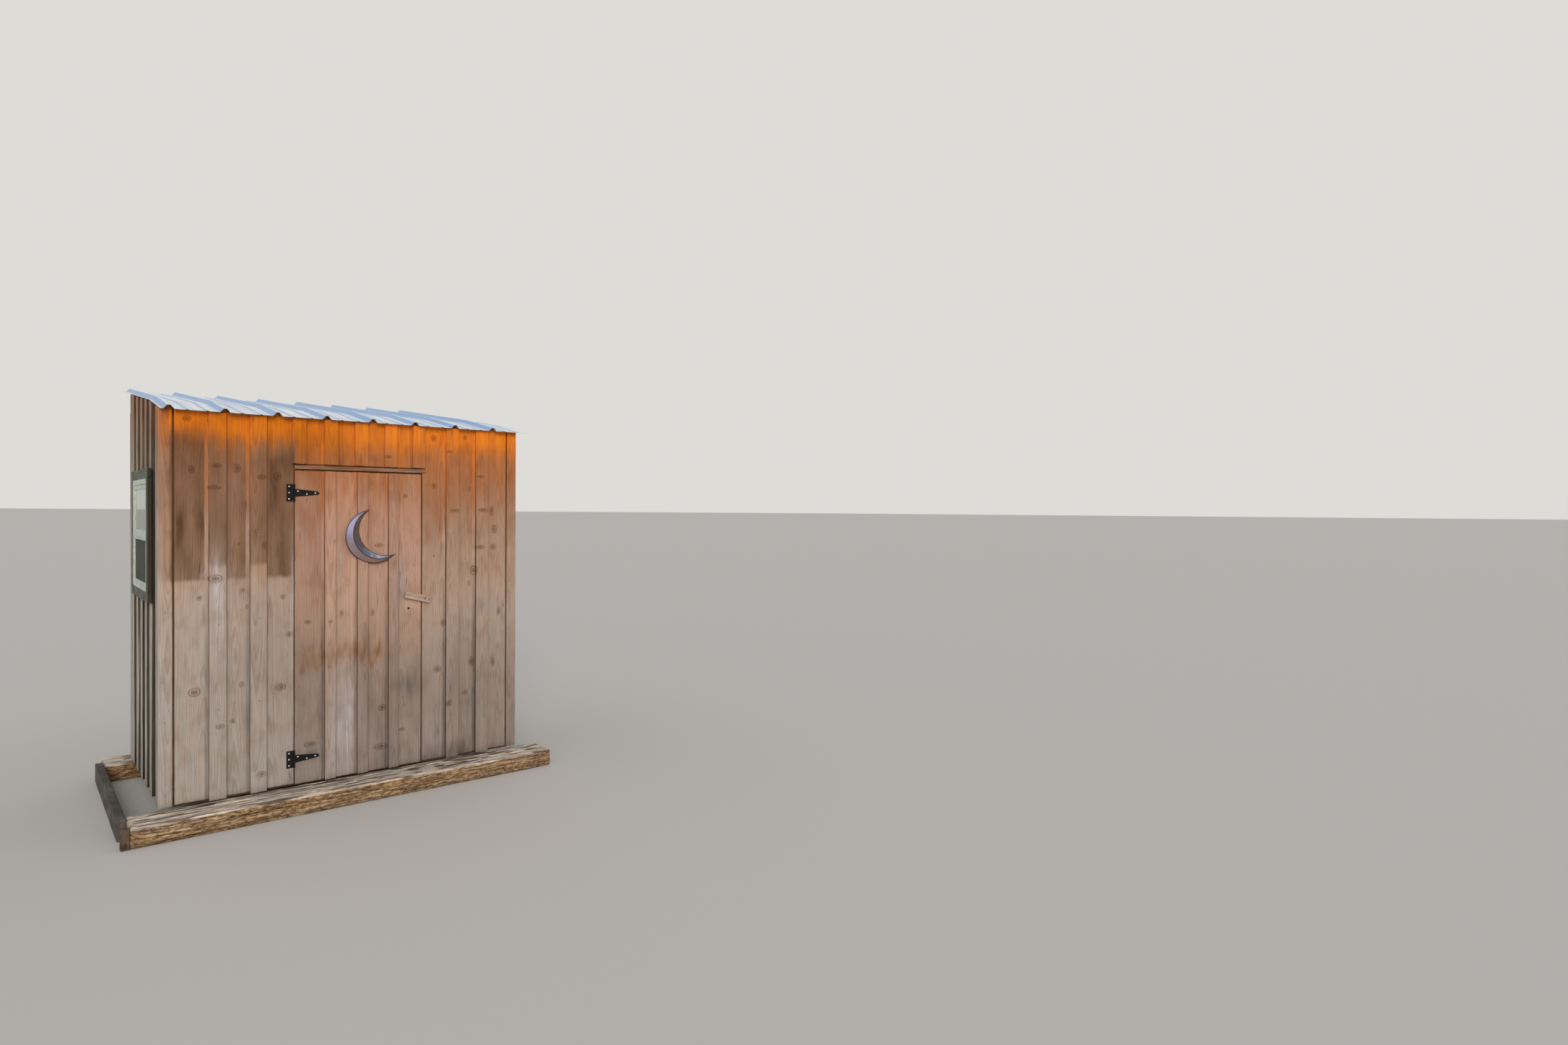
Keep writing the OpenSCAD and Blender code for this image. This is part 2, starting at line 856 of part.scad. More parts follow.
module pin_bore() {
  translate([pin_x, pin_y, 0]) cylinder(h = kink_z, r = pin_r + bore_fit, $fn = round_n);
}

module hinge_leaves() {
  color("black")
    for (h = hinges) {
      low = foot_z + h - leaf_h / 2;
      slot_low = low + leaf_knuckle;
      difference() {
        union() {
          block([pin_x - leaf_w, -hinge_t, low], [pin_x, 0, low + leaf_h]);
          tube(low, low + leaf_knuckle);
          tube(low + leaf_h - leaf_knuckle, low + leaf_h);
        }
        block([pin_x - knuckle_r - turn_gap, -2 * cut, slot_low],
          [pin_x + knuckle_r + turn_gap, cut, slot_low + strap_h]);
        pin_bore();
      }
    }
}

module hinge_straps() {
  color("black")
    for (h = hinges) {
      mid = foot_z + h;
      half = strap_h / 2 - turn_gap;
      difference() {
        union() {
          front_plate(door_y - hinge_t, door_y) union() {
            polygon([
              [pin_x, mid - half],
              [pin_x, mid + half],
              [pin_x + strap_root, mid + half],
              [pin_x + strap_l - strap_tip_r, mid + strap_tip_r],
              [pin_x + strap_l - strap_tip_r, mid - strap_tip_r],
              [pin_x + strap_root, mid - half]
            ]);
            translate([pin_x + strap_l - strap_tip_r, mid]) circle(r = strap_tip_r, $fn = round_n);
          }
          tube(mid - half, mid + half);
        }
        pin_bore();
      }
    }
}

module hinge_pins() {
  color("silver")
    for (h = hinges) {
      low = foot_z + h - leaf_h / 2;
      translate([pin_x, pin_y, low]) cylinder(h = leaf_h, r = pin_r, $fn = round_n);
      for (z = [low - hinge_t, low + leaf_h])
        translate([pin_x, pin_y, z]) cylinder(h = hinge_t, r = pin_r + pin_head, $fn = round_n);
    }
}

// Door
module door_boards() {
  edges = concat([door_left], door_joints, [door_right]);
  color("sienna")
    for (i = [0:3])
      block(
        [edges[i] + (i > 0 ? board_joint / 2 : 0), door_y, door_z0],
        [edges[i + 1] - (i < 3 ? board_joint / 2 : 0), door_y + door_t, door_z1]
      );
}

module door_battens() {
  color("rosybrown")
    for (x = door_joints)
      block([x - door_batten_w / 2, door_batten_y, door_z0],
        [x + door_batten_w / 2, door_y, door_z1]);
}

module door_ledges() {
  color("burlywood")
    for (h = [ledge_low, ledge_mid, door_top - hinge_drop])
      block([jamb_left + rebate, door_y + door_t, foot_z + h - ledge_w / 2],
        [jamb_right - rebate, door_y + door_t + ledge_t, foot_z + h + ledge_w / 2]);
}

// A crescent with two bevels: a cone rises from the outer edge, a wider one from the inner edge
module moon_form() {
  h = moon_h + moon_cut;
  difference() {
    cylinder(h = h, r1 = moon_r, r2 = moon_r - h / moon_slope, $fn = moon_n);
    translate([moon_shift, 0, -moon_cut])
      cylinder(h = h + 2 * moon_cut, r1 = moon_in_r - moon_cut / moon_slope,
        r2 = moon_in_r + (h + moon_cut) / moon_slope, $fn = moon_n);
  }
}

module crescent() {
  color("slategray")
    translate([door_left + moon_x, door_batten_y, door_z1 - moon_drop])
      rotate([90, -moon_tilt, 0])
        difference() {
          moon_form();
          translate([0, 0, -moon_t]) moon_form();
        }
}

// Turn button
module turn_button() {
  color("tan")
    translate([screw_x, 0, foot_z + button_z]) rotate([0, button_tilt, 0])
      difference() {
        block([-button_long, button_y0, -button_w / 2], [button_short, button_y1, button_w / 2]);
        translate([0, button_y1 + cut, 0]) rotate([90, 0, 0])
          cylinder(h = button_t + 2 * cut, r = screw_r + bore_fit, $fn = round_n);
      }
}

module button_screw() {
  head_y = button_y0 - turn_gap;
  color("silver")
    translate([screw_x, 0, foot_z + button_z]) {
      rotate([90, 0, 0]) cylinder(h = -head_y, r = screw_r, $fn = round_n);
      rotate([90, 0, 0]) cylinder(h = button_stand - turn_gap, r = washer_r, $fn = round_n);
      translate([0, head_y, 0]) rotate([90, 0, 0])
        cylinder(h = screw_head_h, r1 = screw_head_r, r2 = screw_top_r, $fn = round_n);
    }
}

translate([-mid_x, -mid_y, 0]) {
  front_tie();
  back_tie();
  side_plank();
  corner_stake();
  floor_rims();
  floor_joists();
  floor_deck();
  sole_plates();
  studs();
  top_plates();
  door_header();
  window_rails();
  rafters();
  eave_blocks();
  purlins();
  front_wall_left();
  front_wall_right();
  front_wall_over_door();
  left_wall();
  right_wall();
  back_wall();
  front_battens();
  side_battens();
  back_battens();
  end_trims();
  side_trims();
  header_strip();
  casing_rails();
  casing_stiles();
  window_frame();
  window_sashes();
  window_glass();
  screen_frame();
  insect_screen();
  roof_sheet_left();
  roof_sheet_right();
  hinge_leaves();
  hinge_pins();
  button_screw();
  door_boards();
  door_battens();
  door_ledges();
  hinge_straps();
  crescent();
  turn_button();
}
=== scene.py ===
"""Board-and-batten outhouse: weathered planks, battens, ties, ribbed roof, black hinges and crescent."""
import functools
import math

import bmesh
import bpy
import numpy as np
from mathutils import Matrix, Vector


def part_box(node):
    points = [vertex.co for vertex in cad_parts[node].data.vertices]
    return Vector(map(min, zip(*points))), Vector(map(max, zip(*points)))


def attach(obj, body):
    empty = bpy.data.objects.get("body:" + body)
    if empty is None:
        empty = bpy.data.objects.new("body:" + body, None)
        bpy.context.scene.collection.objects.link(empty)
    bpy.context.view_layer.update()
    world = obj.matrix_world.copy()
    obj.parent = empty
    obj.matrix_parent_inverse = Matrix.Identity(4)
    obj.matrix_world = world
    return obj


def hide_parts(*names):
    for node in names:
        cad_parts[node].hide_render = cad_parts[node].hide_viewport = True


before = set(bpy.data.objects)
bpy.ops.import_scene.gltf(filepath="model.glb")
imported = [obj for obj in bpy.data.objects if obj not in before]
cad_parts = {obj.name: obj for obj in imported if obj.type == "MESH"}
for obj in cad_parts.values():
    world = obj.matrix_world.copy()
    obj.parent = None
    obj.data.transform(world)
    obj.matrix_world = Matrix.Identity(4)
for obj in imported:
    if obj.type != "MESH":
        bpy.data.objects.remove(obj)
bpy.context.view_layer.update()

MM = 0.001

# The corner from which the front is measured: left end, front face and foot of the walls
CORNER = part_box("end_trims")[0]
FRONT_OUT, BACK_OUT = Vector((0, -1, 0)), Vector((0, 1, 0))
LEFT_OUT, RIGHT_OUT = Vector((-1, 0, 0)), Vector((1, 0, 0))
UP = Vector((0, 0, 1))


def at(x, y, z):
    """A place on the shed, in mm right of, behind and above that corner."""
    return CORNER + Vector((x, y, z)) * MM


def measured(points):
    """Points of the shed in mm from that corner."""
    return (np.asarray(points) - np.array(CORNER)) / MM


def linear(colour):
    """An sRGB hex colour as linear light."""
    parts = [int(colour[i:i + 2], 16) / 255 for i in (1, 3, 5)]
    return tuple(c / 12.92 if c <= 0.04045 else ((c + 0.055) / 1.055) ** 2.4 for c in parts) + (1.0,)


# ---- wandering patterns and wear, worked out in mm ----

def drift(u, v, seed):
    """A smooth wandering between -1 and 1, with one step per unit of u and v."""
    columns, rows = 97, 89
    table = np.random.default_rng(seed).uniform(-1, 1, (columns, rows))
    u, v = np.broadcast_arrays(np.asarray(u, float), np.asarray(v, float))
    iu, iv = np.floor(u).astype(int), np.floor(v).astype(int)
    fu, fv = (f * f * (3 - 2 * f) for f in (u - iu, v - iv))
    low, high = (table[iu % columns, row % rows] * (1 - fu) + table[(iu + 1) % columns, row % rows] * fu
                 for row in (iv, iv + 1))
    return low * (1 - fv) + high * fv


def rise(value, low, high):
    """0 below low, 1 above high, smooth between."""
    t = np.clip((value - low) / (high - low), 0, 1)
    return t * t * (3 - 2 * t)


def between(value, *edges):
    """1 between two soft edges and 0 outside them; an edge is where it starts and where it ends."""
    return rise(value, *edges[:2]) * (1 - rise(value, *edges[2:]))


# Knots of the front, in mm from its left end and from the foot: x, z, half width, half height
FRONT_KNOTS = [
    (137, 1662, 9, 13), (333, 1677, 11, 15), (436, 1635, 13, 9), (514, 1642, 12, 14), (240, 1686, 14, 7),
    (231, 1576, 20, 8), (169, 1023, 8, 8), (355, 1052, 7, 8), (540, 1008, 8, 9), (568, 808, 11, 11),
    (530, 531, 16, 13), (148, 554, 18, 14), (235, 1118, 22, 14), (352, 568, 9, 10), (375, 966, 5, 9),
    (438, 93, 14, 11), (340, 1290, 5, 6), (452, 1280, 8, 14), (255, 370, 14, 9), (312, 386, 9, 7), (985, 893, 6, 14),
    (765, 859, 9, 6), (825, 900, 6, 12), (657, 865, 12, 7), (1037, 350, 14, 13), (1157, 345, 7, 5),
    (1143, 210, 13, 6), (1030, 130, 24, 12), (670, 205, 20, 10), (1020, 1270, 16, 8), (1162, 1550, 9, 9),
    (785, 1297, 6, 6), (1377, 804, 11, 14), (1346, 533, 15, 13), (1684, 540, 9, 20), (1513, 373, 13, 11),
    (1407, 325, 11, 12), (1720, 847, 8, 15), (1594, 1247, 20, 9), (1684, 1247, 13, 13), (1596, 1674, 20, 5),
    (1408, 1815, 12, 5), (1064, 1770, 13, 7), (1322, 1891, 11, 14), (1508, 1906, 9, 9), (1439, 1467, 20, 7),
    (1674, 1467, 9, 20), (1615, 1472, 22, 8), (1561, 1108, 13, 20), (1537, 1597, 6, 10), (1325, 1612, 10, 10),
    (1550, 557, 11, 20), (1535, 1030, 5, 12), (1325, 1200, 4, 6), (118, 1915, 13, 10), (1690, 1355, 12, 16),
]

# Blots of the front: x, z, half width, half height, and how dark, how bleached and how orange
FRONT_BLOTS = [
    (240, 1010, 34, 190, 0, 0.75, 0), (330, 960, 40, 120, 0, 0.35, 0.2), (585, 1000, 10, 260, 0, 0.8, 0),
    (130, 800, 60, 300, 0, 0.25, 0), (240, 700, 36, 420, 0, 0.3, 0), (820, 1180, 14, 150, 0.35, 0.55, 0),
    (850, 330, 50, 260, 0, 0.75, 0), (790, 260, 30, 220, 0, 0.45, 0), (952, 560, 26, 300, 0.3, 0, 0),
    (1030, 160, 50, 150, 0.4, 0.1, 0), (1117, 980, 24, 180, 0.5, 0.4, 0), (1150, 1060, 22, 120, 0.35, 0.4, 0),
    (1205, 926, 50, 24, -0.4, 0, 0.22), (1271, 1015, 4, 18, 0.9, 0, 0), (1205, 300, 60, 170, 0.3, 0.1, 0),
    (1210, 460, 46, 80, 0.85, 0.1, 0), (1150, 470, 50, 60, 0.35, 0.1, 0), (690, 1250, 50, 320, 0.1, 0, 0.2),
    (1320, 150, 50, 160, 0.1, 0.4, 0), (1350, 1400, 60, 200, 0.15, 0, 0.2), (1640, 900, 130, 60, 0.25, 0.3, 0),
    (1720, 600, 60, 300, 0.12, 0.1, 0), (1520, 420, 60, 260, 0.2, 0, 0), (1440, 560, 34, 180, 0.3, 0, 0),
    (440, 700, 36, 240, 0.22, 0, 0), (505, 560, 60, 160, 0.15, 0, 0.2), (1040, 40, 40, 80, 0.45, 0, 0),
    (1200, 40, 60, 80, 0.4, 0, 0), (1330, 30, 60, 70, 0.7, 0, 0), (1500, 30, 60, 60, 0.7, 0, 0),
    (1430, 40, 40, 70, 0.4, 0, 0), (1690, 40, 60, 80, 0.3, 0, 0), (1800, 60, 30, 120, 0.3, 0, 0),
    (665, 148, 52, 34, 0.75, 0, 0), (720, 330, 14, 160, 0.4, 0, 0), (590, 150, 8, 150, 0.25, 0, 0),
    (1030, 330, 60, 120, 0.3, 0, 0), (12, 760, 9, 760, 0, 0.5, 0), (250, 1075, 26, 120, 0, 0.35, 0),
    (945, 735, 22, 60, 0.45, 0, 0), (1110, 700, 26, 260, 0.18, 0.1, 0),
]

# The door's edges and top and the left trim's edge on the front: where each starts and ends
DOOR_LEFT, DOOR_RIGHT, DOOR_TOP, TRIM_EDGE = (588, 594), (1254, 1260), (1678, 1686), (46, 50)
FRONT_BATTEN_EDGES = (207, 386, 1391, 1570)
DOOR_BATTEN_EDGES = (737.5, 902, 1066.5)

# How the front's parts age with their height: heights and ages
AGE_LEFT = (0, 700, 1080, 1200, 1700, 1840), (0.98, 0.93, 0.78, 0.60, 0.48, 0.3)
AGE_DOOR = (0, 300, 640, 760, 1150, 1500, 1677), (0.99, 0.95, 0.86, 0.74, 0.58, 0.47, 0.36)
AGE_RIGHT = (0, 250, 700, 1200, 1500, 1750), (0.9, 0.9, 0.86, 0.68, 0.5, 0.28)
AGE_OVER_DOOR = (1680, 1800, 1880), (0.30, 0.2, 0.08)
AGE_SIDE = (0, 500, 1200, 1700, 1900, 2050), (1.0, 0.95, 0.88, 0.66, 0.35, 0.1)
AGE_BACK = (0, 400, 1000, 1600, 1850, 2020), (1.0, 0.92, 0.78, 0.56, 0.32, 0.1)


# Each of these gives age, damp and painted shade, bleach, and soot and painted shade at points, on a board or on a
# batten that stands proud
# of the boards: age 0 is fresh and 1 is grey; soot and painted shade below 0 is painted light.

def front_wear(x, y, z, proud):
    """The front: fresh orange cedar under the eave, brown below it and silver grey at the foot."""
    ragged = 45 * drift(x / 31, z / 160, 5) + 22 * drift(x / 9, z / 70, 6)
    left, right = 1 - rise(x, *DOOR_LEFT), rise(x, *DOOR_RIGHT)
    door = between(x, *DOOR_LEFT, *DOOR_RIGHT) * (1 - rise(z, *DOOR_TOP))
    over = 1 - np.clip(left + door + right, 0, 1)
    trim = 1 - rise(x, *TRIM_EDGE)
    # Under the eave the boards stay orange; further down they brown, then grey
    fresh = rise(z + 0.3 * ragged, 1745, 1900) * (1 - 0.55 * trim)
    parts = (left, AGE_LEFT), (door, AGE_DOOR), (right, AGE_RIGHT), (over, AGE_OVER_DOOR)
    age = sum(part * np.interp(z + ragged, *ages) for part, ages in parts)
    age = age * (1 - fresh) + (0.01 + 0.05 * rise(x, 650, 950)) * fresh
    # A painted shadow darkens the upper left boards olive and ends in a line, higher up on the battens that stand
    # proud
    line = 1185 if proud else 1112
    shade = left * rise(z + 6 * drift(x / 25, z / 20, 8), line - 14, line + 14)
    lift = 75 * (1 - rise(x, 190, 420))
    shade = shade * (1 - rise(z + 0.4 * ragged, 1700 + lift, 1850 + lift)) * (0.74 + 0.26 * drift(x / 45, z / 230, 9))
    shade = shade * (1 - 0.75 * trim) * (1 - 0.32 * between(x, 200, 207, 470, 480))
    # The painted shadow is carried as damp, beside real damp low down on the right
    damp_and_painted_shade = 0.95 * shade + 0.14 * right * (1 - rise(z, 200, 700))
    bleach = 0.10 * rise(-z, -500, 0)
    soot_and_painted_shade = (0.32 * right + 0.2 * door * rise(x, 640, 900)) * (1 - rise(z, 450, 950))
    # Painted light brightens the fresh band under the eave from over the door rightwards; on the left it is a little
    # darker
    soot_and_painted_shade += (0.08 - 0.45 * rise(x, 700, 1000)) * fresh
    soot_and_painted_shade += 0.3 * over * (1 - rise(x, 780, 880)) * (1 - rise(z, 1850, 1930))
    mottled = 0.8 + 0.45 * drift(x / 14, z / 90, 11)
    for bx, bz, half_width, half_height, dark, pale, warm in FRONT_BLOTS:
        spot = np.exp(-(((x - bx) / half_width) ** 2 + ((z - bz) / half_height) ** 2)) * mottled
        soot_and_painted_shade += dark * spot
        bleach += pale * spot
        age -= 0.45 * warm * spot
    # A brown tide mark on the door, with drips that end in points
    tide = 640 - 46 * np.abs(drift(x / 13, 3.1, 13)) ** 0.6 + 40 * drift(x / 41, 7.3, 14)
    stained = between(z, tide - 7, tide + 7, tide + 50, tide + 160) * between(x, 600, 640, 1030, 1060)
    stained = stained * (0.75 + 0.25 * drift(x / 12, z / 40, 15))
    age -= 0.34 * stained
    damp_and_painted_shade += 0.58 * stained
    # Light caught beside each batten keeps a warm strip on the board to its left
    for edge in FRONT_BATTEN_EDGES + DOOR_BATTEN_EDGES:
        strip = between(x, edge - 17, edge - 13, edge - 1, edge) * (not proud)
        lit = strip * rise(z, 1000, 1250) * (1 - fresh) * (0.65 if edge in DOOR_BATTEN_EDGES[1:] else 0.9)
        high = rise(z, 1350, 1550)
        age -= 0.16 * high * lit
        damp_and_painted_shade = damp_and_painted_shade * (1 - 0.95 * lit)
        bleach += 0.2 * (1 - high) * lit
        # and lower down a painted shadow of the batten darkens the strip
        dirt_and_painted_shade = 0.55 * strip * (1 - rise(z, 700, 1100)) * (0.85 + 0.3 * drift(z / 90, edge, 16))
        soot_and_painted_shade += dirt_and_painted_shade - 0.45 * lit
    # Splash from the ground, and rust below the lower hinge
    damp_and_painted_shade += 0.35 * rise(-z + 14 * drift(x / 18, z / 30, 12), -45, 0)
    damp_and_painted_shade += 0.5 * np.exp(-(((x - 576) / 9) ** 2 + ((z - 45) / 42) ** 2))
    # Painted light makes the outer edge of the left trim pale and bright
    painted_light_edge = (1 - rise(x, 0.6, 2.5)) * (1 - rise(z, 1300, 1750))
    return age + 0.3 * painted_light_edge, damp_and_painted_shade, (bleach + 0.5 * painted_light_edge) * (1 - fresh), soot_and_painted_shade - 0.15 * painted_light_edge


def batten_flank(z, deep):
    """How much fresher and paler a batten's edge is painted than its face, and how dark: painted light above, painted
    shade below.
    """
    return 0.08 * rise(z, 1400, 1700), 1.2 * (1 - rise(z, 1150, 1650)), 0.15 * rise(z, 1400, 1700)


def side_batten_flank(z, deep):
    """The side battens' edges are darkened by painted shade and dirt, less of it under the roof."""
    return 0 * z, 1.15 - 0.45 * rise(z, 1250, 1750), 0 * z


def side_trim_flank(z, deep):
    """The side trims' edges: a dark line of painted shadow along the outer half, pale beside the front trim."""
    inner = rise(deep, 9, 11)
    return 0 * z, (1.0 - 0.5 * rise(z, 1250, 1750)) * (1 - inner) - 0.2 * inner, 0.6 * inner


def side_wear(x, y, z, proud):
    """The side walls: dark grey-brown boards, darkened by painted shade and dirt, battens washed pale, reddish under
    the roof, greenish at the foot.
    """
    ragged = 60 * drift(y / 33, z / 170, 21)
    age = np.interp(z + ragged, *AGE_SIDE)
    damp_and_painted_shade = 0.3 * rise(-z + ragged, -260, 0) + (0.05 if proud else 0.5) + 0.25 * drift(y / 30, z / 260, 22)
    bleach = 0.05 + 0.2 * drift(y / 22, z / 300, 23)
    if proud:
        bleach = bleach + 0.75 - 0.4 * rise(z, 1250, 1750)
    # The lanes between the battens are darkened by painted shade and dirt
    return age, damp_and_painted_shade, bleach, (-0.15 if proud else 0.85) * (0.8 + 0.4 * drift(y / 26, z / 200, 24))


def side_trim_wear(x, y, z, proud):
    """The corner trims of the side walls: washed pale, warmer higher up."""
    age, damp_and_painted_shade, bleach, soot_and_painted_shade = side_wear(x, y, z, True)
    return age - 0.1, 0.3 * damp_and_painted_shade, 0.55 - 0.3 * rise(z, 1300, 1800), 0.2 * soot_and_painted_shade - 0.25


def plain_wear(x, y, z, proud):
    """The back wall, which the weather treats evenly."""
    ragged = 60 * drift((x + y) / 33, z / 170, 31)
    damp_and_painted_shade = 0.4 * rise(-z + ragged, -220, 0) + 0.12 + 0.15 * drift((x + y) / 70, z / 320, 32)
    bleach = 0.1 + 0.2 * drift((x + y) / 30, z / 240, 33)
    # The boards between the battens take a little painted shade
    soot_and_painted_shade = (0.0 if proud else 0.16) * (0.7 + 0.5 * drift((x + y) / 30, z / 220, 34))
    return np.interp(z + ragged, *AGE_BACK), damp_and_painted_shade, bleach, soot_and_painted_shade


def strip_wear(x, y, z, proud):
    """The strip over the door: brown, and damp in patches."""
    age = 0.36 + 0.16 * drift(x / 60, z / 8, 71)
    return age, 0.35 + 0.3 * drift(x / 90, z / 10, 72), 0.1 + 0 * z, 0 * z


def tie_wear(x, y, z, proud):
    """The ties: pale and grey with dark lanes on top, brown and fibrous on their faces, dark at the ground."""
    top = rise(z, -31, -23)
    age = 0.97 * top + (1 - top) * (0.22 + 0.22 * drift(x / 120, (z + y) / 25, 73))
    lanes = rise(drift(x / 70, y / 13, 74), 0.05, 0.45)
    damp_and_painted_shade = (1 - top) * (0.4 * rise(-z, 70, 115) + 0.1) + 0.75 * top * lanes
    bleach = top * (0.7 + 0.4 * drift(x / 160, y / 30, 75)) * (1 - lanes)
    soot_and_painted_shade = 0.3 * (1 - top) * rise(drift(x / 45, z / 14, 76), 0.0, 0.8) + 0.45 * top * lanes
    return age, damp_and_painted_shade, bleach, soot_and_painted_shade - 0.3 - 0.15 * top * (1 - lanes)


def sheltered_wear(x, y, z, proud):
    """Framing and floor inside the shed: pale sawn softwood, darker low down and against the siding."""
    age = 0.25 + 0.1 * drift((x + y) / 90, z / 200, 41)
    # Painted shade darkens the framing where it stands against the siding
    behind = np.maximum(np.maximum(rise(-y, -24, -20), rise(-x, -43, -39)), rise(y, 1176, 1180))
    return age, 0.25 * rise(-z, -260, 0) + 0.08 + 0.55 * behind, 0 * z, 0 * z


def grey_wear(x, y, z, proud):
    """Pieces that are grey all over: casings, plank, stake."""
    age = 0.95 + 0.1 * drift((x + y) / 40, z / 60, 51)
    damp_and_painted_shade = 0.2 + 0.3 * drift((x + y) / 55, z / 35, 52)
    return age, damp_and_painted_shade, 0.25 + 0.35 * drift((x + y) / 70, z / 45, 53), 0 * z


CASING_FRONT = float(measured([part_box("casing_rails")[0]])[0][1])


def casing_wear(x, y, z, proud):
    """The window's casing: grey outside, with its front edge and ends left brown and dark."""
    age, damp_and_painted_shade, bleach, soot_and_painted_shade = grey_wear(x, y, z, proud)
    front = rise(-y, -CASING_FRONT - 5, -CASING_FRONT - 1)
    return age * (1 - front), damp_and_painted_shade + 0.5 * front, bleach * (1 - front), 0.45 * front


BUTTON_TILT = math.radians(14.5)
BUTTON_SCREW_X, BUTTON_SCREW_Z = 1282, 953


def button_wear(x, y, z, proud):
    """The turn button: pinkish grey, with a grey band along its middle and dirt about its screw."""
    across = (z - BUTTON_SCREW_Z) + (x - BUTTON_SCREW_X) * math.tan(BUTTON_TILT)
    band = 1 - rise(np.abs(across), 2, 7)
    dirt_and_painted_shade = np.exp(-(((x - BUTTON_SCREW_X + 6) / 13) ** 2 + (across / 7) ** 2))
    return (0.5 + 0.25 * drift(x / 25, z / 9, 61) + 0.4 * band, 0.05 + 0.45 * dirt_and_painted_shade,
            0.25 + 0.3 * drift(x / 30, z / 12, 62), 0.18 * band + 0.6 * dirt_and_painted_shade)


# ---- sawn pieces ----

# A corner further than this from its box, in metres, is cut off and not only out of square
CUT_OFF = 0.05
# One knot for so much face in mm2, where none are placed; and the trees' own random draws
FACE_PER_KNOT, TREE_SEED = 90000, 7777
# Edges sharper than this stay sharp
SHARP_ANGLE = math.radians(50)


def solids(node):
    """The separate solids of a node, each as its own points and triangles."""
    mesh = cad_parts[node].data
    keys, same = np.unique(np.round([v.co for v in mesh.vertices], 6), axis=0, return_inverse=True)
    faces = [same.ravel()[list(p.vertices)] for p in mesh.polygons]
    owner, before = np.arange(len(keys)), None
    while before is None or (before != owner).any():
        before = owner.copy()
        for face in faces:
            owner[face] = owner[face].min()
    groups = {}
    for face in faces:
        groups.setdefault(owner[face[0]], []).append(face)
    found = []
    for group in groups.values():
        used = np.unique(np.concatenate(group))
        found.append((keys[used], [np.searchsorted(used, face).tolist() for face in group]))
    return sorted(found, key=lambda s: tuple(np.round(s[0].min(0), 4)))


def corners_of(points, turn):
    """The eight corners of a sawn piece as [x side][y side][z side]; a turned piece is boxed in its own frame."""
    own = np.eye(3) if turn is None else turn
    local = points @ own.T
    low, high = local.min(0), local.max(0)
    grid = np.zeros((2, 2, 2, 3))
    for corner in np.ndindex(2, 2, 2):
        boxed = np.where(corner, high, low)
        near = local[np.argmin(((local - boxed) ** 2).sum(1))]
        grid[corner] = near if turn is None and np.abs(near - boxed).max() <= CUT_OFF else boxed
    return grid @ own


def section(width, thick, radius, steps):
    """A sawn section's outline in mm, with the outer face at depth 0: rows of (across, deep)."""
    bend = radius * (1 - math.sqrt(0.5))
    wide, deep = width - radius, thick - radius
    outline = []
    for start, end, count, corner in (
            ((radius, 0), (wide, 0), steps[0], (width - bend, bend)),
            ((width, radius), (width, deep), steps[1], (width - bend, thick - bend)),
            ((wide, thick), (radius, thick), steps[2], (bend, thick - bend)),
            ((0, deep), (0, radius), steps[1], (bend, bend))):
        outline += [*np.linspace(start, end, count + 1), corner]
    return np.array(outline)


def weathered(mm, deep, wear, proud, flank_wear, tone):
    """Age, damp and painted shade, bleach and tone at points, each from 0 to 1; a batten's edges can take painted
    light and shade unlike its face.
    """
    x, y, z = mm[..., 0], mm[..., 1], mm[..., 2]
    age, damp_and_painted_shade, bleach, soot_and_painted_shade = wear(x, y, z, proud)
    if flank_wear is not None:
        flank = rise(deep, 0.6, 1.4)
        lit, dirt_and_painted_shade, pale = flank_wear(z, deep)
        age = age - lit * flank
        damp_and_painted_shade = damp_and_painted_shade * (1 - 0.7 * flank * (lit > 0)) + 0.5 * np.clip(dirt_and_painted_shade, 0, 1) * flank
        bleach = bleach * (1 - flank) + pale * flank
        soot_and_painted_shade = soot_and_painted_shade * (1 - 0.5 * flank) + 0.85 * dirt_and_painted_shade * flank
    return np.clip(np.stack([age, damp_and_painted_shade, bleach, tone - 0.7 * soot_and_painted_shade], -1), 0, 1)


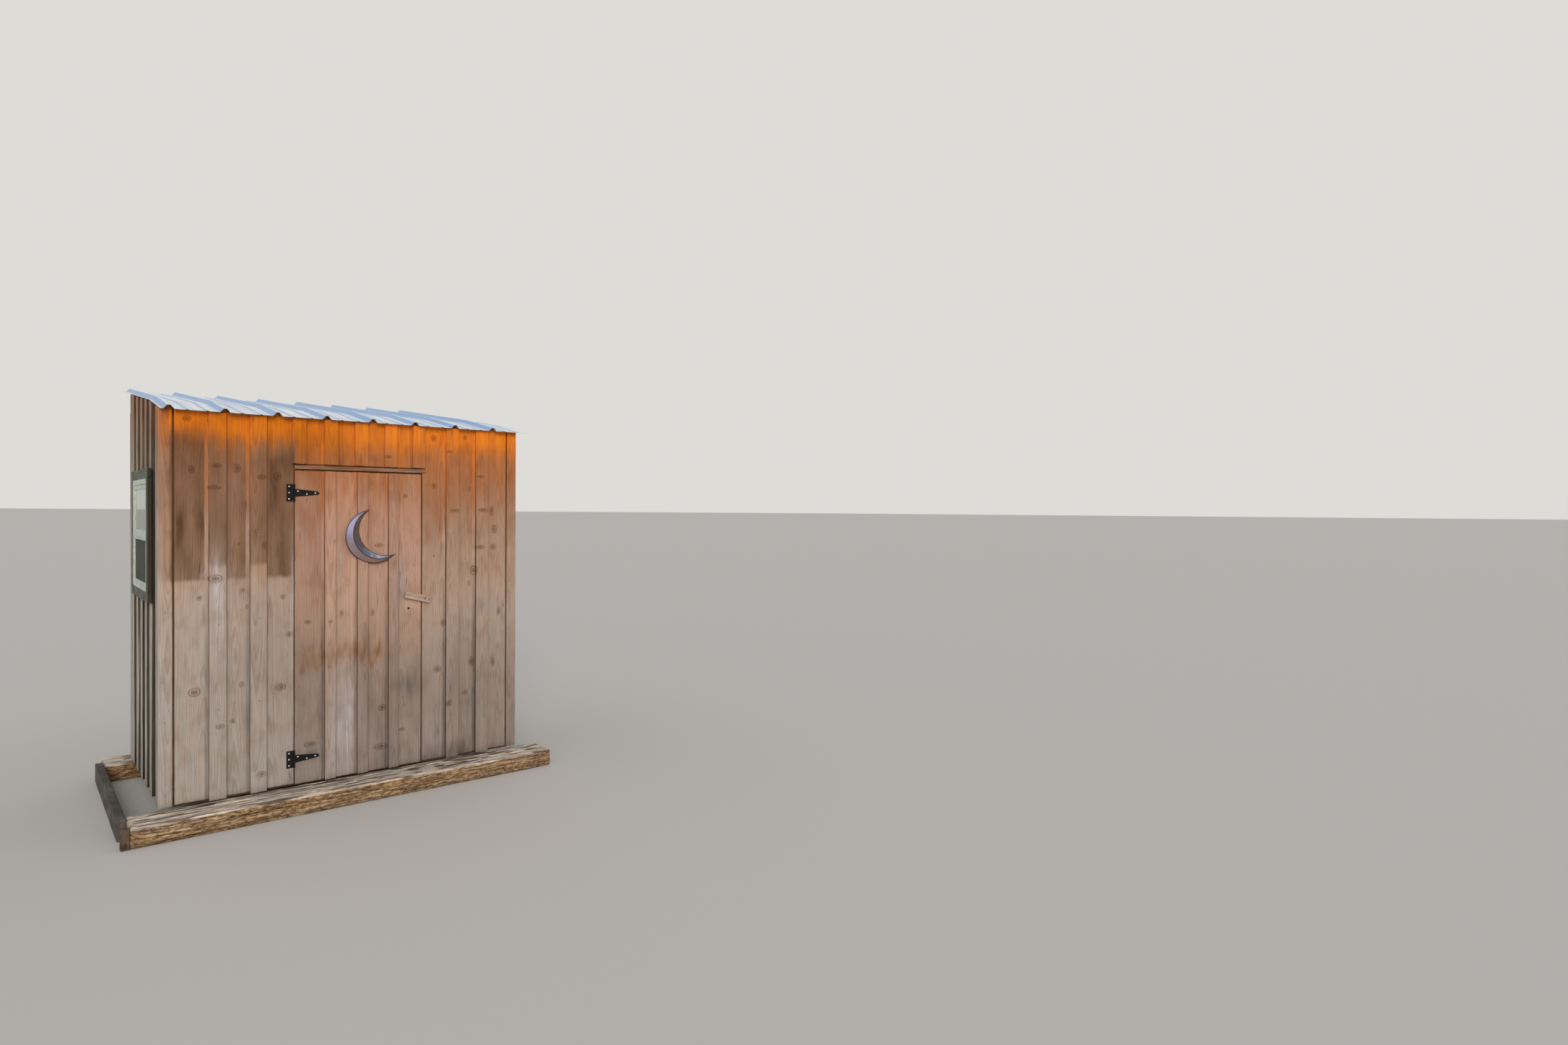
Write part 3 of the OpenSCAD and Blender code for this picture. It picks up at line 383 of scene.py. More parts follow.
def plank(points, out, wear, seed, across=8, along=8, round_mm=2.0, wander=0.8, warp=0.7, ragged=1.5,
          knots=(), turn=None, checks=(), fibre=0.0, side_steps=1, back_steps=2, proud=False, tone=0.0,
          flank_wear=None):
    """A sawn piece in place of a plain solid: eased edges that wander, a warped face, worn ends, knots and checks."""
    rng = np.random.default_rng(seed)
    grid = corners_of(points, turn)
    sides = [np.take(grid, 1, axis) - np.take(grid, 0, axis) for axis in range(3)]
    spans = [np.linalg.norm(side[0, 0]) for side in sides]
    axes = [way / np.linalg.norm(way) for way in (side.mean((0, 1)) for side in sides)]
    long_axis = int(np.argmax(spans))
    rest = [a for a in range(3) if a != long_axis]
    thick_axis = max(rest, key=lambda a: abs(axes[a] @ np.array(out)))
    width_axis = [a for a in rest if a != thick_axis][0]
    order = np.moveaxis(grid, (width_axis, thick_axis, long_axis), (0, 1, 2))
    if axes[thick_axis] @ np.array(out) > 0:
        order = order[:, ::-1]
    length, width, thick = (spans[a] / MM for a in (long_axis, width_axis, thick_axis))
    face_steps = max(1, round((width - 2 * round_mm) / across))
    outline = section(width, thick, round_mm, (face_steps, side_steps, back_steps))
    rows = max(2, round(length / along)) + 1
    eased = min(round_mm, 0.2 * length)
    run = np.concatenate([[0.0], np.linspace(eased, length - eased, rows), [length]])
    a, b, l = (part.copy() for part in np.broadcast_arrays(outline[:, 0], outline[:, 1], run[:, None]))
    inset = np.where((l == 0) | (l == length), eased, 0) * 0.8
    a_in = np.clip(a, inset, width - inset)
    b_in = np.clip(b, inset, thick - inset)

    # Edges that wander inwards and ends that are worn short
    def wandered(slow, quick, own_seed):
        wide = wander * (0.5 + 0.5 * drift(l / slow, seed, own_seed))
        return np.clip(wide + 0.3 * wander * drift(l / quick, seed, own_seed + 1), 0, None)

    a_moved = a_in + wandered(190, 37, seed + 1) * (1 - a / width) - wandered(210, 41, seed + 3) * (a / width)
    worn = ragged * (0.5 + 0.5 * drift(a / 11, b / 9, seed + 5))
    l_moved = l + worn * np.exp(-l / 12) - worn * np.exp(-(length - l) / 12)

    # The face: cupped and wavy, always inside the solid
    depth_share = 1 - b / thick
    cup = warp * (0.5 + 0.5 * np.cos((a / width - 0.5) * 2 * math.pi)) * rng.uniform(0.3, 1)
    wave = 0.5 * warp * (0.5 + 0.5 * drift(l / 140, a / 60, seed + 6))
    sunk = cup + wave + fibre * (0.5 + 0.5 * drift(l / 60, (a + b) / 5, seed + 7))
    left_side, right_side = a < round_mm + 0.1, a > width - round_mm - 0.1
    groove = np.zeros_like(a)
    for side, deep_at, start, end, wide, deep in checks:
        if deep_at is None:
            on_it, gap = b < round_mm + 0.1, a - (side + 2.2 * drift(l / 60, side, seed + 8))
        else:
            on_it = left_side if side == 0 else right_side
            gap = b - (deep_at + 2.2 * drift(l / 60, deep_at, seed + 9))
        cut = deep * np.exp(-(gap / wide) ** 2) * between(l, start, start + 40, end - 60, end)
        groove = np.maximum(groove, np.where(on_it, cut, 0))
    b_moved = b_in + (sunk + groove * (b < thick / 2)) * depth_share
    pushed = groove * np.where(a < width / 2, 1, -1) * np.where(left_side | right_side, 1, 0)
    a_moved = a_moved + pushed * (b > round_mm)

    shares = [(1 - s, s) for s in (a_moved / width, b_moved / thick, l_moved / length)]
    place = sum((shares[0][i] * shares[1][j] * shares[2][k])[..., None] * order[i, j, k]
                for i, j, k in np.ndindex(2, 2, 2))

    # Knots: how near each point is to one, and how the grain bends round it
    near, bent = np.zeros_like(a), np.zeros_like(a)
    mm = measured(place)
    facing = 1
    spots = [((mm[..., 0] - kx) / kw, (mm[..., 2] - kz) / kh, kw) for kx, kz, kw, kh in knots]
    if not knots:
        facing = rise(depth_share, 0.1, 0.4)
        for _ in range(rng.poisson(length * width / FACE_PER_KNOT)):
            ka, kl = rng.uniform(0.15, 0.85) * width, rng.uniform(0.03, 0.97) * length
            kw = rng.uniform(5, 13)
            spots.append(((a - ka) / kw, (l - kl) / (kw * rng.uniform(0.8, 1.5)), kw))
    for du, dv, kw in spots:
        gap = np.sqrt(du * du + dv * dv)
        near = np.maximum(near, np.clip(1 - gap / 3, 0, 1) * facing)
        bent += kw * du * np.exp(-0.35 * gap * gap)

    grain = np.stack([a - 1.6 * bent, b, l], -1) * MM + rng.uniform(0, 40, 3)
    weather = weathered(mm, b, wear, proud, flank_wear, 0.7 + tone + 0.08 * rng.uniform(-1, 1))

    # Growth rings about a pith that lies behind the face and slowly comes nearer along the board
    tree_rng = np.random.default_rng(seed + TREE_SEED)
    pith, deep = tree_rng.uniform(0.25, 0.75) * width, tree_rng.uniform(10, 40)
    ring = np.hypot(a - pith - 1.3 * bent, b + deep) + tree_rng.choice([-1, 1]) * tree_rng.uniform(0.012, 0.035) * l
    ring = ring + 7 * drift(l / 240, a / 90, seed + 10) + 0.7 * np.abs(bent)

    index = np.arange(a.size).reshape(a.shape)
    nxt = np.roll(index, -1, 1)
    quads = np.stack([index[:-1], nxt[:-1], nxt[1:], index[1:]], -1).reshape(-1, 4)
    wide_way, deep_way, long_way = (order[i] - order[0, 0, 0] for i in ((1, 0, 0), (0, 1, 0), (0, 0, 1)))
    caps = [index[0].tolist()[::-1], index[-1].tolist()]
    if np.cross(wide_way, deep_way) @ long_way < 0:
        quads = quads[:, ::-1]
        caps = [c[::-1] for c in caps]
    return {"place": place.reshape(-1, 3), "faces": quads.tolist() + caps, "grain": grain.reshape(-1, 3),
            "weather": weather.reshape(-1, 4), "knot": near.ravel(), "ring": ring.ravel() * MM}


def trimmed(points, faces, out, wear, seed, proud, flank_wear):
    """A sawn piece with notches: the solid itself with eased edges and rows of points along it."""
    bm = bmesh.new()
    made = [bm.verts.new(p) for p in points]
    for face in faces:
        if len(set(face)) > 2:
            bm.faces.new([made[i] for i in face])
    bmesh.ops.dissolve_limit(bm, angle_limit=math.radians(1), verts=bm.verts, edges=bm.edges)
    low, high = points.min(0), points.max(0)
    long_axis = int(np.argmax(high - low))
    bmesh.ops.bevel(bm, geom=list(bm.edges), offset=1.5 * MM, segments=2, affect="EDGES", profile=0.5,
                    clamp_overlap=True)
    way = np.eye(3)[long_axis]
    for cut in np.arange(low[long_axis] + 0.02, high[long_axis] - 0.01, 60 * MM):
        bmesh.ops.bisect_plane(bm, geom=list(bm.verts) + list(bm.edges) + list(bm.faces), plane_co=cut * way,
                               plane_no=way, dist=1e-6)
    bmesh.ops.recalc_face_normals(bm, faces=bm.faces)
    bm.verts.index_update()
    place = np.array([v.co for v in bm.verts])
    rows = [[v.index for v in f.verts] for f in bm.faces]
    bm.free()
    rng = np.random.default_rng(seed)
    mm = measured(place)
    thick_axis = max((a for a in range(3) if a != long_axis), key=lambda a: abs(out[a]))
    a, b, l = mm[:, 3 - long_axis - thick_axis], mm[:, thick_axis], mm[:, long_axis]
    grain = np.stack([a, b, l], -1) * MM + rng.uniform(0, 40, 3)
    outward = mm @ np.array(out)
    weather = weathered(mm, outward.max() - outward, wear, proud, flank_wear, rng.uniform(0.62, 0.78))
    ring = np.hypot(a - a.mean(), b - b.min() + 20) + 0.02 * l
    return {"place": place, "faces": rows, "grain": grain, "weather": weather, "knot": np.zeros(len(place)),
            "ring": ring * MM}


def assembled(name, parts, look, body, slot, *nodes):
    """One piece from its parts, which rides on a body and stands for CAD nodes; the slot it is given is not used."""
    mesh = bpy.data.meshes.new(name)
    faces, start = [], 0
    for part in parts:
        faces += [[i + start for i in face] for face in part["faces"]]
        start += len(part["place"])
    mesh.from_pydata(np.concatenate([part["place"] for part in parts]).tolist(), [], faces)
    for key, kind, field in (("grain", "FLOAT_VECTOR", "vector"), ("weather", "FLOAT_COLOR", "color"),
                             ("knot", "FLOAT", "value"), ("ring", "FLOAT", "value"),
                             ("finish", "FLOAT_COLOR", "color")):
        if key in parts[0]:
            layer = mesh.attributes.new(key, kind, "POINT")
            layer.data.foreach_set(field, np.concatenate([p[key] for p in parts]).astype(np.float32).ravel())
    mesh.materials.append(look)
    mesh.polygons.foreach_set("use_smooth", [True] * len(mesh.polygons))
    mesh.set_sharp_from_angle(angle=SHARP_ANGLE)
    mesh.validate()
    piece = bpy.data.objects.new(name, mesh)
    bpy.context.scene.collection.objects.link(piece)
    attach(piece, body)
    if nodes:
        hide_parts(*nodes)


# ---- materials ----

def add_node(tree, kind, *inputs, stops=None, **named):
    """A shader node. Its kind can have an operation or a blend behind it. Capitalised names and unnamed
    values are inputs: a value, a hex colour, a socket, or a node, which gives its first output in use.
    Other names are settings, and stops are a ramp's colours. A Mix takes share, under and over; a MapRange
    takes a value, the range it comes from and the range it goes to."""
    kind, _, mode = kind.partition(" ")
    node = tree.nodes.new("ShaderNode" + kind)
    settings = {key: value for key, value in named.items() if key[0].islower()}
    if kind == "Mix":
        settings = {"data_type": "RGBA", "blend_type": mode}
    elif mode:
        settings["operation"] = mode
    for key, value in settings.items():
        setattr(node, key, value)
    places = (0, 6, 7) if kind == "Mix" else range(len(inputs))
    by_name = [(key.replace("_", " "), value) for key, value in named.items() if key not in settings]
    for key, value in [*zip(places, inputs), *by_name]:
        if isinstance(value, bpy.types.Node):
            value = next(output for output in value.outputs if output.enabled)
        if isinstance(value, bpy.types.NodeSocket):
            tree.links.new(value, node.inputs[key])
        else:
            node.inputs[key].default_value = linear(value) if isinstance(value, str) else value
    if stops:
        band = node.color_ramp.elements
        for place in list(stops)[1:-1]:
            band.new(place)
        for element, (place, colour) in zip(band, stops.items()):
            element.position, element.color = place, linear(colour)
    return node


def material(name, surface, *values, **settings):
    """A material with the shader that a function builds, or a Principled shader with the inputs it gives."""
    made = bpy.data.materials.new(name)
    made.use_nodes = True
    made.node_tree.nodes.clear()
    add = functools.partial(add_node, made.node_tree)
    look = surface(add, *values, **settings)
    add("OutputMaterial", add("BsdfPrincipled", **look) if isinstance(look, dict) else look)
    return made


# Noises along the grain: mm across and along it, detail, roughness and distortion. Fibres are under a
# millimetre wide and torn fibres a few; both are drawn coarser than that, so that they show.
GRAIN_NOISES = {
    "patch": (35, 220, 4.0, 0.6, 0.0), "fibre": (1.3, 50, 3.0, 0.65, 0.0), "streak": (5, 250, 5.0, 0.6, 0.0),
    "check": (16, 350, 2.0, 0.5, 0.0), "blotch": (55, 110, 2.5, 0.5, 0.2), "torn": (9, 32, 5.0, 0.75, 0.5),
}
STREAK_TONE = {0.3: "#D3CCC7", 0.5: "#F6F4F2", 0.7: "#FFFFFF"}
RING_TONE = {0.0: "#FFFFFF", 0.5: "#F4EFEB", 0.86: "#BFB0A4", 0.93: "#C9BCB2", 1.0: "#FFFFFF"}
FIBRE_TONE = {0.3: "#DAD6D2", 0.55: "#FFFFFF", 0.8: "#FFFFFF"}
BLOTCH_TONE = {0.32: "#DDD2C8", 0.5: "#FBF9F6", 0.62: "#FFFFFF"}
KNOT_TONE = {0.3: "#FFFFFF", 0.5: "#F0ECE8", 0.6: "#AA9C92", 0.64: "#FFFFFF", 0.71: "#F4EEE8", 0.76: "#BAACA0",
             0.84: "#DCD2C8", 1.0: "#6E6058"}
TORN_TONE = {0.36: "#4A3A2A", 0.46: "#A8947A", 0.56: "#FFFFFF"}


def weathered_wood(add, aging, damp_and_painted_shade_colour, bleach_colour, knot_colour, ring_mm=7.0, check_share=0.25,
                   check_width=0.012, relief_mm=0.9, shag=0.0):
    """Sawn cedar left to the weather: growth rings and fibres along the grain, knots, fine checks, damp and painted
    shade, bleach.
    """
    weather, grain, knot, ring = (add("Attribute", attribute_name=name).outputs
                                  for name in ("weather", "grain", "knot", "ring"))
    fields = add("SeparateColor", weather["Color"]).outputs
    noises = []
    for across, along, detail, roughness, distortion in GRAIN_NOISES.values():
        steps = add("VectorMath MULTIPLY", grain["Vector"], (1 / (across * MM), 1 / (across * MM), 1 / (along * MM)))
        noises.append(add("TexNoise", Vector=steps, Scale=1.0, Detail=detail, Roughness=roughness,
                          Distortion=distortion))
    patch, fibre, streak, check_noise, blotch, torn = noises

    # Flat-sawn growth rings, wider in good years than in dry ones: pale early wood that darkens to a late line
    count = add("Math MULTIPLY", ring["Fac"], 1 / (ring_mm * MM))
    years = add("TexNoise", W=count, Scale=0.45, Detail=1.0, noise_dimensions="1D")
    count = add("Math MULTIPLY_ADD", patch, 0.5, add("Math MULTIPLY_ADD", years, 1.6, count))
    rings = add("Math FRACT", count)
    # Checks: thin dark splits along the grain
    gap = add("Math ABSOLUTE", add("Math SUBTRACT", check_noise, 0.5))
    check_where = add("MapRange", patch, 0.62 - 0.2 * check_share, 0.72 - 0.2 * check_share, 0.0, 1.0)
    check = add("Math MULTIPLY", add("MapRange", gap, 0.0, check_width, 1.0, 0.0), check_where)

    # Age with the patches worked in, then damp and painted shade, and bleach
    aged = add("Math SUBTRACT", add("Math MULTIPLY_ADD", patch, 0.22, fields["Red"]), 0.11)
    base = add("ValToRGB", aged, stops=aging)
    for field, fade, colour in (("Green", (patch, 0.3, 0.7, 0.75, 1.15), damp_and_painted_shade_colour),
                                ("Blue", (streak, 0.35, 0.6, 0.5, 1.1), bleach_colour)):
        share = add("Math MULTIPLY", fields[field], add("MapRange", *fade), use_clamp=True)
        base = add("Mix MIX", share, base, colour)

    # Grain as light and dark of the same colour, and blotches of a hand's breadth, as sun and rain leave them
    for share, source, tones in ((0.36, streak, STREAK_TONE), (0.4, rings, RING_TONE), (0.42, fibre, FIBRE_TONE),
                                 (0.5, blotch, BLOTCH_TONE)):
        base = add("Mix MULTIPLY", share, base, add("ValToRGB", source, stops=tones))

    # Knots: grain darkens towards them, a pale rim, and a dark ringed core
    knot = add("Math ADD", knot["Fac"], add("MapRange", streak, 0.0, 1.0, -0.07, 0.07))
    near = add("MapRange", knot, 0.25, 0.5, 0.0, 1.0)
    base = add("Mix MULTIPLY", near, base, add("ValToRGB", knot, stops=KNOT_TONE))
    wave = add("Math SINE", add("Math MULTIPLY", knot, 70.0))
    core = add("Math MULTIPLY", add("MapRange", knot, 0.66, 0.74, 0.0, 0.22),
               add("MapRange", wave, -1.0, 1.0, 0.2, 1.0))
    base = add("Mix MIX", core, base, knot_colour)

    # Torn fibres on the rough faces
    if shag:
        share = add("MapRange", fields["Red"], 0.3, 0.9, shag, 0.38 * shag)
        base = add("Mix MULTIPLY", share, base, add("ValToRGB", torn, stops=TORN_TONE))

    # Checks are nearly black, and each board has its own tone, which also carries soot, painted shade and painted
    # light
    base = add("Mix MIX", add("Math MULTIPLY", check, 0.6), base, "#2A211A")
    tone = add("MapRange", weather["Alpha"], 0.0, 1.0, 0.45, 1.235)
    base = add("VectorMath SCALE", base, Scale=tone)

    # Relief: late wood stands proud, checks and knot rings are cut in
    height = add("Math MULTIPLY", rings, 0.25)
    for source, share in ((streak, 0.5), (fibre, 0.35), (check, -1.6), (core, -0.4), (torn, 1.5 * shag)):
        if share:
            height = add("Math MULTIPLY_ADD", source, share, height)
    bump = add("Bump", Height=height, Strength=0.8, Distance=relief_mm * MM)
    return dict(Base_Color=base, Roughness=add("MapRange", streak, 0.0, 1.0, 0.78, 0.95), Normal=bump,
                Specular_IOR_Level=0.25)


def galvanised_steel(add):
    """Ribbed steel roofing with a bright zinc coat: spangle, faint run-off streaks and a painted bluish reflection of
    the sky on the ribs' flanks.
    """
    where = add("TexCoord").outputs["Object"]
    # Zinc crystals about 12 mm across
    spangle = add("TexVoronoi", Vector=where, Scale=1 / 0.012, feature="F1")
    grey = add("SeparateColor", spangle.outputs["Color"]).outputs["Red"]
    along = add("VectorMath MULTIPLY", where, (1 / 0.02, 1 / 0.9, 1 / 0.9))
    streak = add("TexNoise", Vector=along, Scale=1.0, Detail=4.0, Roughness=0.6)
    cloud = add("TexNoise", Vector=where, Scale=1 / 0.3, Detail=3.0, Roughness=0.55)
    coat = add("ValToRGB", streak, stops={0.3: "#CBD9E8", 0.46: "#E2EAF3", 0.62: "#F8FAFC"})
    dull = add("ValToRGB", cloud, stops={0.35: "#DDE6EF", 0.65: "#FFFFFF"})
    base = add("Mix MULTIPLY", 0.5, coat, dull)
    # The ribs' flanks and the lap, found by which way they face, are painted bluer and duller than the pans: a
    # painted reflection of the sky
    facing = add("SeparateXYZ", add("NewGeometry").outputs["Normal"]).outputs["Z"]
    flank = add("MapRange", add("Math ABSOLUTE", facing), 0.82, 0.97, 0.85, 0.0)
    base = add("Mix MIX", flank, base, "#86AEDC")
    base = add("VectorMath SCALE", base, Scale=add("MapRange", grey, 0.0, 1.0, 0.93, 1.04))
    return dict(Base_Color=base, Metallic=0.3, Roughness=add("MapRange", grey, 0.0, 1.0, 0.34, 0.48),
                Normal=add("Bump", Height=cloud, Strength=0.3, Distance=0.002))


def black_hinge_steel(add):
    """Stamped steel with black paint: slight orange-peel texture and rust in patches."""
    where = add("TexCoord").outputs["Object"]
    peel = add("TexNoise", Vector=where, Scale=1 / 0.0015, Detail=2.0)
    rust = add("TexNoise", Vector=where, Scale=1 / 0.012, Detail=5.0, Roughness=0.7)
    return dict(Base_Color=add("Mix MIX", add("MapRange", rust, 0.6, 0.75, 0.0, 0.7), "#0E0D0C", "#3A2416"),
                Roughness=add("MapRange", rust, 0.3, 0.75, 0.4, 0.8), Specular_IOR_Level=0.2,
                Normal=add("Bump", Height=peel, Strength=0.25, Distance=0.0003))


def patched_coat(add, size, detail, roughness, tones, rough, metallic):
    """A plain coat that gets paler and smoother in patches of one size."""
    where = add("TexCoord").outputs["Object"]
    patch = add("TexNoise", Vector=where, Scale=1 / size, Detail=detail, Roughness=roughness)
    return dict(Base_Color=add("ValToRGB", patch, stops=tones), Metallic=metallic,
                Roughness=add("MapRange", patch, 0.0, 1.0, *rough))


def patina_metal(add):
    """Formed sheet metal with a patina: bluish violet above, pinkish brown below, dark along rim and ridge, and a
    painted highlight on the inner bevel.
    """
    finish = add("Attribute", attribute_name="finish").outputs["Color"]
    run, inside, rim = list(add("SeparateColor", finish).outputs)[:3]
    where = add("TexCoord").outputs["Object"]
    cloud = add("TexNoise", Vector=where, Scale=1 / 0.05, Detail=5.0, Roughness=0.6)
    speck = add("TexNoise", Vector=where, Scale=1 / 0.004, Detail=3.0, Roughness=0.7)
    along = add("Math SUBTRACT", add("Math MULTIPLY_ADD", cloud, 0.5, run), 0.25)
    outer = add("ValToRGB", along, stops={
        0.0: "#77718A", 0.3: "#807A98", 0.5: "#938188", 0.75: "#9D7B6C", 1.0: "#866860"})
    # The pale blue-white stop of the inner bevel, near one end, is a painted highlight
    inner = add("ValToRGB", along, stops={
        0.0: "#7A6256", 0.3: "#665650", 0.5: "#5C545C", 0.66: "#6C7082", 0.8: "#A8B0C2", 1.0: "#6A6274"})
    base = add("Mix MIX", rim, add("Mix MIX", inside, outer, inner), "#241B20")
    base = add("VectorMath SCALE", base, Scale=add("MapRange", speck, 0.0, 1.0, 0.85, 1.12))
    return dict(Base_Color=base, Metallic=0.45, Roughness=add("MapRange", cloud, 0.0, 1.0, 0.3, 0.6),
                Normal=add("Bump", Height=speck, Strength=0.3, Distance=0.0006))


def window_pane_glass(add):
    """Flat window glass with a film of dust and faint run marks."""
    film_at = add("VectorMath MULTIPLY", add("TexCoord").outputs["Object"], (1 / 0.02, 1 / 0.02, 1 / 0.12))
    film = add("TexNoise", Vector=film_at, Scale=1.0, Detail=4.0, Roughness=0.6)
    clear = add("BsdfPrincipled", Base_Color="#DCE8DE", Roughness=0.03, IOR=1.5, Transmission_Weight=1.0)
    dusty = add("BsdfPrincipled", Base_Color="#B4BEAE", Roughness=0.8)
    return add("MixShader", add("MapRange", film, 0.35, 0.75, 0.04, 0.22), clear, dusty)


def woven_screen(add):
    """Insect screen: dark woven mesh. Its 1.4 mm weave is drawn at 3 mm so that it shows."""
    where = add("TexCoord").outputs["Object"]
    grid = add("VectorMath MULTIPLY", where, (0.0, 2 * math.pi / 0.003, 2 * math.pi / 0.003))
    parts = add("SeparateXYZ", add("VectorMath SINE", grid)).outputs
    wires = add("Math MAXIMUM", parts["Y"], parts["Z"])
    dust = add("TexNoise", Vector=where, Scale=1 / 0.06, Detail=4.0)
    wire = add("BsdfPrincipled", Roughness=0.7, Base_Color=add("ValToRGB", dust, stops={
        0.3: "#2E3226", 0.7: "#454A38"}))
    return add("MixShader", add("MapRange", wires, -0.2, 0.5, 0.5, 0.95), add("BsdfTransparent"), wire)


def hole_shadow(add):
    """Painted shadow: the dark inside of a hole in wood."""
    grain = add("TexNoise", Scale=400.0, Detail=3.0)
    return dict(Base_Color=add("ValToRGB", grain, stops={0.3: "#0E0A08", 0.7: "#1C1510"}), Roughness=0.95)


def matt_floor(add):
    """A matt pale studio floor."""
    return dict(Base_Color="#C9C6C1", Roughness=0.95, Specular_IOR_Level=0.1)


def wood(name, *colours, **settings):
    """One of the woods: its colours by age, from fresh to grey, and the colours of damp and painted shade, bleach and
    knots.
    """
    return material(name, weathered_wood, *colours, **settings)


SIDING_AGES = {0.0: "#EC820E", 0.14: "#CC762E", 0.3: "#B57548", 0.45: "#AF7D5C", 0.6: "#B29078", 0.78: "#B8A08F",
               1.0: "#A9A19A"}
DOOR_AGES = {0.0: "#D6741C", 0.14: "#C06E30", 0.36: "#B1764F", 0.5: "#BB917A", 0.62: "#BA9985", 0.8: "#A88F7F",
             1.0: "#9C8E84"}
SIDE_AGES = {0.0: "#94562F", 0.3: "#8C6446", 0.6: "#8A735F", 0.85: "#88796A", 1.0: "#7C766A"}
PLAIN_AGES = {0.0: "#C67426", 0.3: "#A46A42", 0.6: "#9A7760", 0.85: "#998474", 1.0: "#928A80"}
# The damp colour of the front also paints the shadow over the upper left boards, and that of the sides the shade in
# the lanes between the battens
front_cedar = wood("weathered_cedar_siding", SIDING_AGES, "#5E4229", "#C6C0C0", "#6E4A30")
door_cedar = wood("weathered_cedar_door", DOOR_AGES, "#66502E", "#BDBABD", "#6A4830")
side_cedar = wood("shaded_cedar_siding", SIDE_AGES, "#3C372D", "#C9C8BC", "#5E4632", check_share=0.4)
plain_cedar = wood("evenly_weathered_cedar", PLAIN_AGES, "#5E5144", "#A8A29C", "#7A5438")
trim_cedar = wood("weathered_cedar_trim", SIDING_AGES, "#6E5442", "#C2BEBC", "#8A5A38")
sawn_pine = wood("sawn_pine_framing", {0.0: "#C79B62", 0.5: "#B98D58", 1.0: "#9E8058"},
                 "#30261C", "#C9B79A", "#7A4E2C", ring_mm=6.0, check_share=0.1, relief_mm=0.4)
floor_pine = wood("worn_pine_floor", {0.0: "#B08A5C", 0.5: "#9C7B55", 1.0: "#857057"},
                  "#5A4A38", "#B8A78E", "#6A452A", ring_mm=6.0, check_share=0.3, relief_mm=0.5)
casing_wood = wood("grey_green_casing_boards", {0.0: "#5C4636", 0.5: "#757B73", 1.0: "#6C726A"},
                   "#474A42", "#9AA096", "#4A4034", check_share=0.7)
tie_wood = wood("cracked_tie_timber", {0.0: "#B8966E", 0.35: "#CAB08C", 0.6: "#D4C0A8", 1.0: "#E6DACE"},
                "#64503A", "#F0E8DC", "#5A3E28", ring_mm=9.0, check_share=1.6, check_width=0.09, relief_mm=2.4,
                shag=0.9)
plank_wood = wood("dark_grey_plank", {0.0: "#6A6258", 0.5: "#5E5A54", 1.0: "#55534F"},
                  "#36322C", "#87837B", "#3A3228", check_share=1.0, relief_mm=1.6, shag=0.4)
stake_wood = wood("rough_brown_stake", {0.0: "#6E5138", 0.5: "#66503C", 1.0: "#6E6052"},
                  "#3A2C20", "#8C7C6A", "#3A2818", check_share=0.9, relief_mm=1.6, shag=0.8)
button_wood = wood("weathered_button_wood", {0.0: "#C69A78", 0.5: "#C6A48E", 1.0: "#AEA09A"},
                   "#4A3C34", "#D2C4BE", "#7A5438", check_share=0.5)
roof_steel = material("galvanised_steel_sheet", galvanised_steel)
hinge_steel = material("black_painted_hinge_steel", black_hinge_steel)
# Zinc-plated screws, bright with dull grey blooms, and duller pins
screw_zinc = material("bright_zinc_screws", patched_coat, 0.003, 3.0, 0.6, {0.35: "#BEBAB2", 0.6: "#F0EDE6"},
                      (0.55, 0.25), 0.5)
pin_zinc = material("dull_steel_pins", patched_coat, 0.003, 3.0, 0.6, {0.35: "#4E4A46", 0.6: "#8A8680"},
                    (0.55, 0.25), 0.5)
# Extruded vinyl window bars: off-white, faintly greenish from algae, with dust in patches
vinyl = material("white_window_vinyl", patched_coat, 0.04, 5.0, 0.65,
                 {0.35: "#A9B2A2", 0.55: "#C5D0C0", 0.75: "#D2DACE"}, (0.6, 0.4), 0.0)
moon_metal = material("crescent_patina_metal", patina_metal)
glass = material("dusty_window_glass", window_pane_glass)
screen = material("dark_insect_screen", woven_screen)
hole_dark = material("shadow_in_hole", hole_shadow)


# ---- the woodwork ----

def wall(name, node, timber, out, wear, slot, seed, body="shed", tones=(), whole=False, **plank_settings):
    """A node's boards, each sawn afresh; a board with a notch keeps its solid, unless it is taken whole."""
    parts = []
    for number, (points, faces) in enumerate(solids(node)):
        outer = RIGHT_OUT if out is LEFT_OUT and points[:, 0].mean() > 0 else out
        own_seed = seed + 17 * number
        if len(points) <= 8 or whole:
            tone = tones[number] if number < len(tones) else 0.0
            parts.append(plank(points, outer, wear, own_seed, tone=tone, **plank_settings))
        else:
            parts.append(trimmed(points, faces, outer, wear, own_seed, plank_settings.get("proud", False),
                                 plank_settings.get("flank_wear")))
    assembled(name, parts, timber, body, slot, node)


